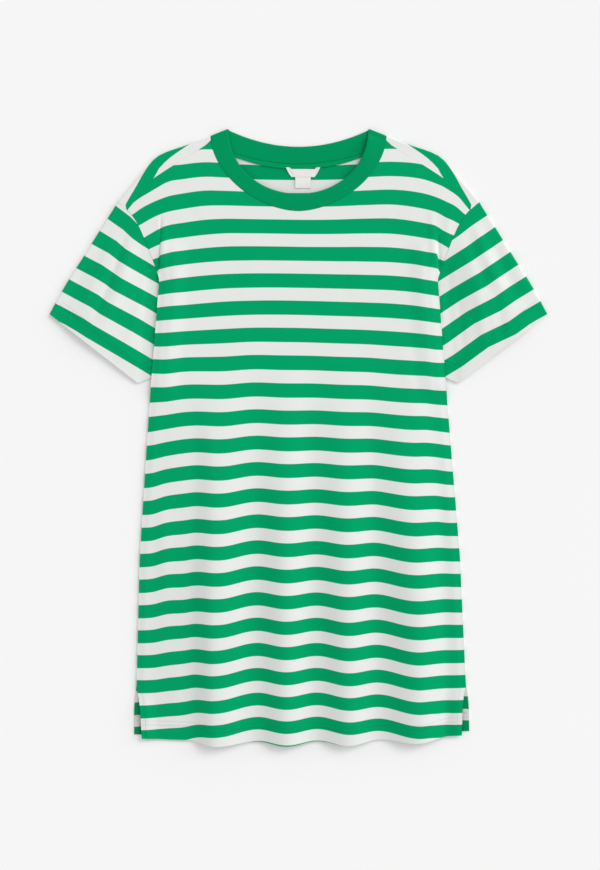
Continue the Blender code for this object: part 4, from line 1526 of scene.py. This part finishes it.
class Shader:
    """A material's node tree, with one method that adds any node."""

    def __init__(self, name: str, colour: tuple[float, float, float]) -> None:
        """Make the material; colour is what a plain view shows."""
        self.material = bpy.data.materials.new(name)
        self.material.use_nodes = True
        self.material.diffuse_color = (*colour, 1.0)
        self.tree = self.material.node_tree
        self.surface = self.tree.nodes["Principled BSDF"]

    def node(self, kind: str, settings: dict | None = None, values: dict | None = None) -> bpy.types.Node:
        """Add a node.

        Args:
            kind: Its type.
            settings: Its properties, set first.
            values: Numbers, colours or links for its inputs, by name or place.

        Returns:
            The node.
        """
        node = self.tree.nodes.new(kind)
        for name, setting in (settings or {}).items():
            setattr(node, name, setting)
        for name, value in (values or {}).items():
            self.put(node.inputs[name], value)
        return node

    def put(self, socket: bpy.types.NodeSocket, value: object) -> None:
        """Link or set a socket."""
        if isinstance(value, Value):
            value = value.socket
        if isinstance(value, bpy.types.NodeSocket):
            self.tree.links.new(value, socket)
        else:
            socket.default_value = value

    def uv(self, name: str) -> tuple[Value, Value, bpy.types.NodeSocket]:
        """Read a UV map as two numbers and a vector."""
        uv = self.node("ShaderNodeUVMap", {"uv_map": name}).outputs[0]
        split = self.node("ShaderNodeSeparateXYZ", None, {0: uv})
        return Value(self, split.outputs[0]), Value(self, split.outputs[1]), uv

    def noise(self, vector: bpy.types.NodeSocket, scale: float, detail: float = 2.0) -> Value:
        """Add a noise of a scale, from 0 to 1."""
        values = {"Vector": vector, "Scale": scale, "Detail": detail, "Roughness": 0.5}
        return Value(self, self.node("ShaderNodeTexNoise", None, values).outputs["Fac"])

    def grey(self, value: Value) -> bpy.types.NodeSocket:
        """Turn a number into a grey."""
        return self.node("ShaderNodeCombineColor", None, {0: value, 1: value, 2: value}).outputs[0]

    def blend(self, mask: Value | float, low: object, high: object, way: str = "MIX") -> bpy.types.NodeSocket:
        """Mix two colours by a mask."""
        settings = {"data_type": "RGBA", "blend_type": way}
        return self.node("ShaderNodeMix", settings, {0: mask, 6: low, 7: high}).outputs[2]

    def tint(self, colour: tuple[float, float, float], tone: Value) -> bpy.types.NodeSocket:
        """Make a colour lighter or darker by a tone."""
        return self.blend(1.0, (*colour, 1.0), self.grey(tone), "MULTIPLY")

    def finish(self, colour: object, height: Value, depth: float, strength: float, **steady: float) -> None:
        """Link the colour and a bump, and set what is the same all over."""
        bump = self.node(
            "ShaderNodeBump", None, {"Height": height, "Distance": depth, "Strength": strength}
        )
        self.put(self.surface.inputs["Base Color"], colour)
        self.put(self.surface.inputs["Normal"], bump.outputs[0])
        for name, value in steady.items():
            self.surface.inputs[name.replace("_", " ")].default_value = value


@dataclass(frozen=True)
class Knit:
    """A plain knit: columns of small slanted loops."""

    wale: float = 0.00095
    course: float = 0.0007
    slant: float = 0.9

    def height(self, shader: Shader, u: Value, v: Value) -> Value:
        """Give the knit's height, from 0 to 1."""
        column = (u / self.wale).to_whole() * 2.0
        loop = ((v / self.course) + column * (self.slant / 2)).to_whole() * 2.0
        return column * (loop * 0.5 + 0.5)


COTTON = {"Roughness": 0.9, "Specular_IOR_Level": 0.03, "Sheen_Weight": 0.01}


@dataclass(frozen=True)
class StripedJersey:
    """Cotton jersey in even green and white stripes, with turned hems, and painted shade: darker towards the
    hem and on the wrong side, most beside the slits.
    """

    green: tuple[float, float, float] = (0.0, 0.345, 0.132)
    white: tuple[float, float, float] = (0.765, 0.782, 0.765)
    half_width: float = 0.2628
    softness: float = 0.004
    hem: float = 0.0275
    hem_step: float = 0.0012
    row_width: float = 0.0016
    knit: Knit = Knit()
    # Painted shade on the wrong side, seen inside the neck and on the slits' flaps. Green is darkened more
    # than white, and more again beside the slits. A painted shadow lies under the front's edge.
    wrong_side_shade: tuple[float, float] = (0.13, 0.05)
    slit_painted_shade: float = 0.12
    gap_painted_shadow: float = 0.5
    slit_reach: tuple[float, float] = (0.03, 0.01)
    gap_shadow_reach: tuple[float, float] = (0.008, 0.003)
    clouds: tuple[float, float] = (18.0, 3.0)
    yarns: tuple[float, float] = (900.0, 1.0)
    tone: float = 0.955
    cloud_tone: float = 0.05
    yarn_tone: float = 0.04
    # Painted shade: the cloth's colour darkens towards the hem, where less light falls.
    lower_painted_shade: float = 0.05
    painted_shade_from: float = 0.06
    painted_shade_run: float = 0.34
    loop_height: float = 0.16
    hem_height: float = 0.45
    row_depth: float = 0.5
    cloud_height: float = 0.1
    bump: tuple[float, float] = (0.001, 0.35)
    name: str = "striped jersey"

    def build(self) -> bpy.types.Material:
        """Make the material."""
        shader = Shader(self.name, (0.35, 0.60, 0.42))
        _, number, _ = shader.uv("Stripes")
        across, along, cloth = shader.uv("Cloth")
        from_hem, from_side, _ = shader.uv("Edges")
        wrong, _, _ = shader.uv("Wrong")
        mask = ((self.half_width + self.softness / 2 - number.to_whole()) / self.softness).clamp()
        cloudy, yarn = shader.noise(cloth, *self.clouds), shader.noise(cloth, *self.yarns)
        # Painted shade, darker towards the hem.
        lower = ((self.painted_shade_from - along) / self.painted_shade_run).clamp()
        tone = self.tone + cloudy * self.cloud_tone + yarn * self.yarn_tone - lower * self.lower_painted_shade
        # Painted shade on the wrong side beside the slits, and a painted shadow in the gap under the front's
        # edge.
        beside = ((self.slit_reach[0] - from_side) / self.slit_reach[1]).clamp()
        under = beside * ((from_side - self.gap_shadow_reach[0]) / self.gap_shadow_reach[1]).clamp()
        tone = tone * (1 - wrong * (beside * self.slit_painted_shade + under * self.gap_painted_shadow))
        # Painted shade of the dress's inside darkens its wrong side.
        of_green, of_white = (tone * (1 - wrong * painted_shade) for painted_shade in self.wrong_side_shade)
        green, white = shader.tint(self.green, of_green), shader.tint(self.white, of_white)
        colour = shader.blend(mask, white, green)
        loops = self.knit.height(shader, across, along)
        turned = ((self.hem - from_hem) / self.hem_step).clamp()
        inner, outer = (from_hem.bell(inset * MM, self.row_width) for inset in reversed(HEM_ROWS))
        height = loops * self.loop_height + turned * self.hem_height - (inner + outer) * self.row_depth
        shader.finish(colour, height + cloudy * self.cloud_height, *self.bump, **COTTON)
        return shader.material


@dataclass(frozen=True)
class GreenRib:
    """Fine rib knit, whose ridges run across the neckband."""

    green: tuple[float, float, float] = (0.0, 0.290, 0.104)
    ridge: float = 0.0017
    course: float = 0.0008
    tone: tuple[float, float] = (0.96, 0.06)
    clouds: tuple[float, float] = (30.0, 2.0)
    heights: tuple[float, float] = (0.35, 0.1)
    bump: tuple[float, float] = (0.001, 0.3)

    def build(self) -> bpy.types.Material:
        """Make the material."""
        shader = Shader("green rib", (0.0, 0.30, 0.10))
        along, across, cloth = shader.uv("Cloth")
        tone = self.tone[0] + shader.noise(cloth, *self.clouds) * self.tone[1]
        ridges = (along / self.ridge).to_whole() * 2.0
        courses = (across / self.course).to_whole() * 2.0
        height = ridges * self.heights[0] + courses * ridges * self.heights[1]
        shader.finish(shader.tint(self.green, tone), height, *self.bump, **COTTON)
        return shader.material


@dataclass(frozen=True)
class WovenTape:
    """A fine woven tape or label: crossing threads."""

    name: str
    colour: tuple[float, float, float]
    pitch: float
    roughness: float
    tone: tuple[float, float] = (0.95, 0.08)
    clouds: tuple[float, float] = (120.0, 2.0)
    thread_height: float = 0.1
    bump: tuple[float, float] = (0.001, 0.3)

    def build(self) -> bpy.types.Material:
        """Make the material."""
        shader = Shader(self.name, self.colour)
        across, along, cloth = shader.uv("Cloth")
        tone = self.tone[0] + shader.noise(cloth, *self.clouds) * self.tone[1]
        warp = (across / self.pitch).to_whole() * 2.0
        weft = (along / self.pitch + across / (self.pitch * 4)).to_whole() * 2.0
        height = warp * self.thread_height + weft * self.thread_height
        steady = {"Roughness": self.roughness, "Specular_IOR_Level": 0.05}
        shader.finish(shader.tint(self.colour, tone), height, *self.bump, **steady)
        return shader.material


@dataclass(frozen=True)
class SewingThread:
    """Thread that takes the colour of the stripe that it lies on, a little darker."""

    green: tuple[float, float, float] = (0.0, 0.27, 0.10)
    white: tuple[float, float, float] = (0.50, 0.51, 0.50)
    half_width: float = 0.2688
    softness: float = 0.012
    twist: float = 500.0
    bump: tuple[float, float] = (0.0001, 0.2)

    def build(self) -> bpy.types.Material:
        """Make the material."""
        shader = Shader("sewing thread", (0.5, 0.6, 0.5))
        _, number, _ = shader.uv("Stripes")
        mask = ((self.half_width - number.to_whole()) / self.softness).clamp()
        colour = shader.blend(mask, (*self.white, 1.0), (*self.green, 1.0))
        twist = (number * self.twist).sine() * 0.5 + 0.5
        shader.finish(colour, twist, *self.bump, Roughness=0.75, Specular_IOR_Level=0.1)
        return shader.material


@dataclass
class Studio:
    """A pale floor, soft light from the upper right, one lamp high and one low, and the camera above."""

    floor: tuple[float, float, float] = (0.90, 0.90, 0.90)
    floor_size: float = 14.0
    floor_drop: float = 0.0002
    floor_tone: tuple[float, float] = (0.995, 0.01)
    floor_clouds: float = 3.0
    floor_grain: float = 400.0
    floor_bump: tuple[float, float] = (0.0002, 0.05)
    sky: float = 0.762
    lamps: tuple[tuple[float, float, tuple[float, float, float]], ...] = (
        (0.95, 24.0, (0.60, 0.62, 0.62)),
        (1.10, 26.0, (0.86, 0.34, 0.24)),
    )
    camera_from: tuple[float, float, float] = (0.00219, 0.00285, 1.8)
    lens: float = 51.0
    sensor: float = 36.0

    def build_floor(self) -> None:
        """Lay the floor."""
        Piece.clear()
        bpy.ops.mesh.primitive_plane_add(size=self.floor_size, location=(0.0, 0.0, -self.floor_drop))
        floor = bpy.context.object
        floor.name = "studio_floor"
        shader = Shader("studio floor", self.floor)
        coordinates = shader.node("ShaderNodeTexCoord").outputs["Object"]
        tone = self.floor_tone[0] + shader.noise(coordinates, self.floor_clouds) * self.floor_tone[1]
        colour = shader.tint(self.floor, tone)
        grain = shader.noise(coordinates, self.floor_grain)
        shader.finish(colour, grain, *self.floor_bump, Roughness=0.95, IOR=1.2)
        floor.data.materials.append(shader.material)

    def build_light(self) -> None:
        """Set the sky and the soft lamps, each with its strength, its spread in degrees and its place."""
        world = bpy.data.worlds.new("studio sky")
        bpy.context.scene.world = world
        bpy.context.scene.view_settings.view_transform = "Standard"
        world.use_nodes = True
        background = world.node_tree.nodes["Background"]
        background.inputs["Color"].default_value = (1.0, 1.0, 1.0, 1.0)
        background.inputs["Strength"].default_value = self.sky
        for strength, spread, place in self.lamps:
            Piece.clear()
            bpy.ops.object.light_add(type="SUN", location=place)
            lamp = bpy.context.object
            lamp.name = "studio_lamp"
            lamp.data.energy = strength
            lamp.data.angle = math.radians(spread)
            lamp.rotation_euler = (-Vector(place)).to_track_quat("-Z", "Y").to_euler()

    def build_camera(self) -> None:
        """Hang the camera over the dress."""
        camera = bpy.data.cameras.new("camera")
        camera.lens = self.lens
        camera.sensor_width = self.sensor
        view = bpy.data.objects.new("camera", camera)
        view.location = self.camera_from
        bpy.context.scene.collection.objects.link(view)
        bpy.context.scene.camera = view

    def build(self) -> None:
        """Set up the studio."""
        self.build_floor()
        self.build_light()
        self.build_camera()


def main() -> None:
    """Build the studio and the pieces in order, and report each."""
    logging.basicConfig(level=logging.INFO, format="%(message)s")
    form, chart = DressForm(), StripeChart()
    Studio().build()
    jersey, thread = StripedJersey().build(), SewingThread().build()

    for panel in (FrontPanel(form, chart), BackPanel(form, chart)):
        panel.build(jersey)
        panel.stitch(thread)
    for side, look in SLEEVES.items():
        sleeve = Sleeve(form, side, look)
        sleeve.build(jersey)
        sleeve.stitch(thread)
    Neckband(form).build(GreenRib().build())
    NeckTrims(form).build(
        WovenTape("green tape", (0.0, 0.300, 0.107), 0.0009, 0.9).build(),
        WovenTape("woven label", (0.80, 0.80, 0.78), 0.0004, 0.7).build(),
    )


if __name__ == "__main__":
    main()
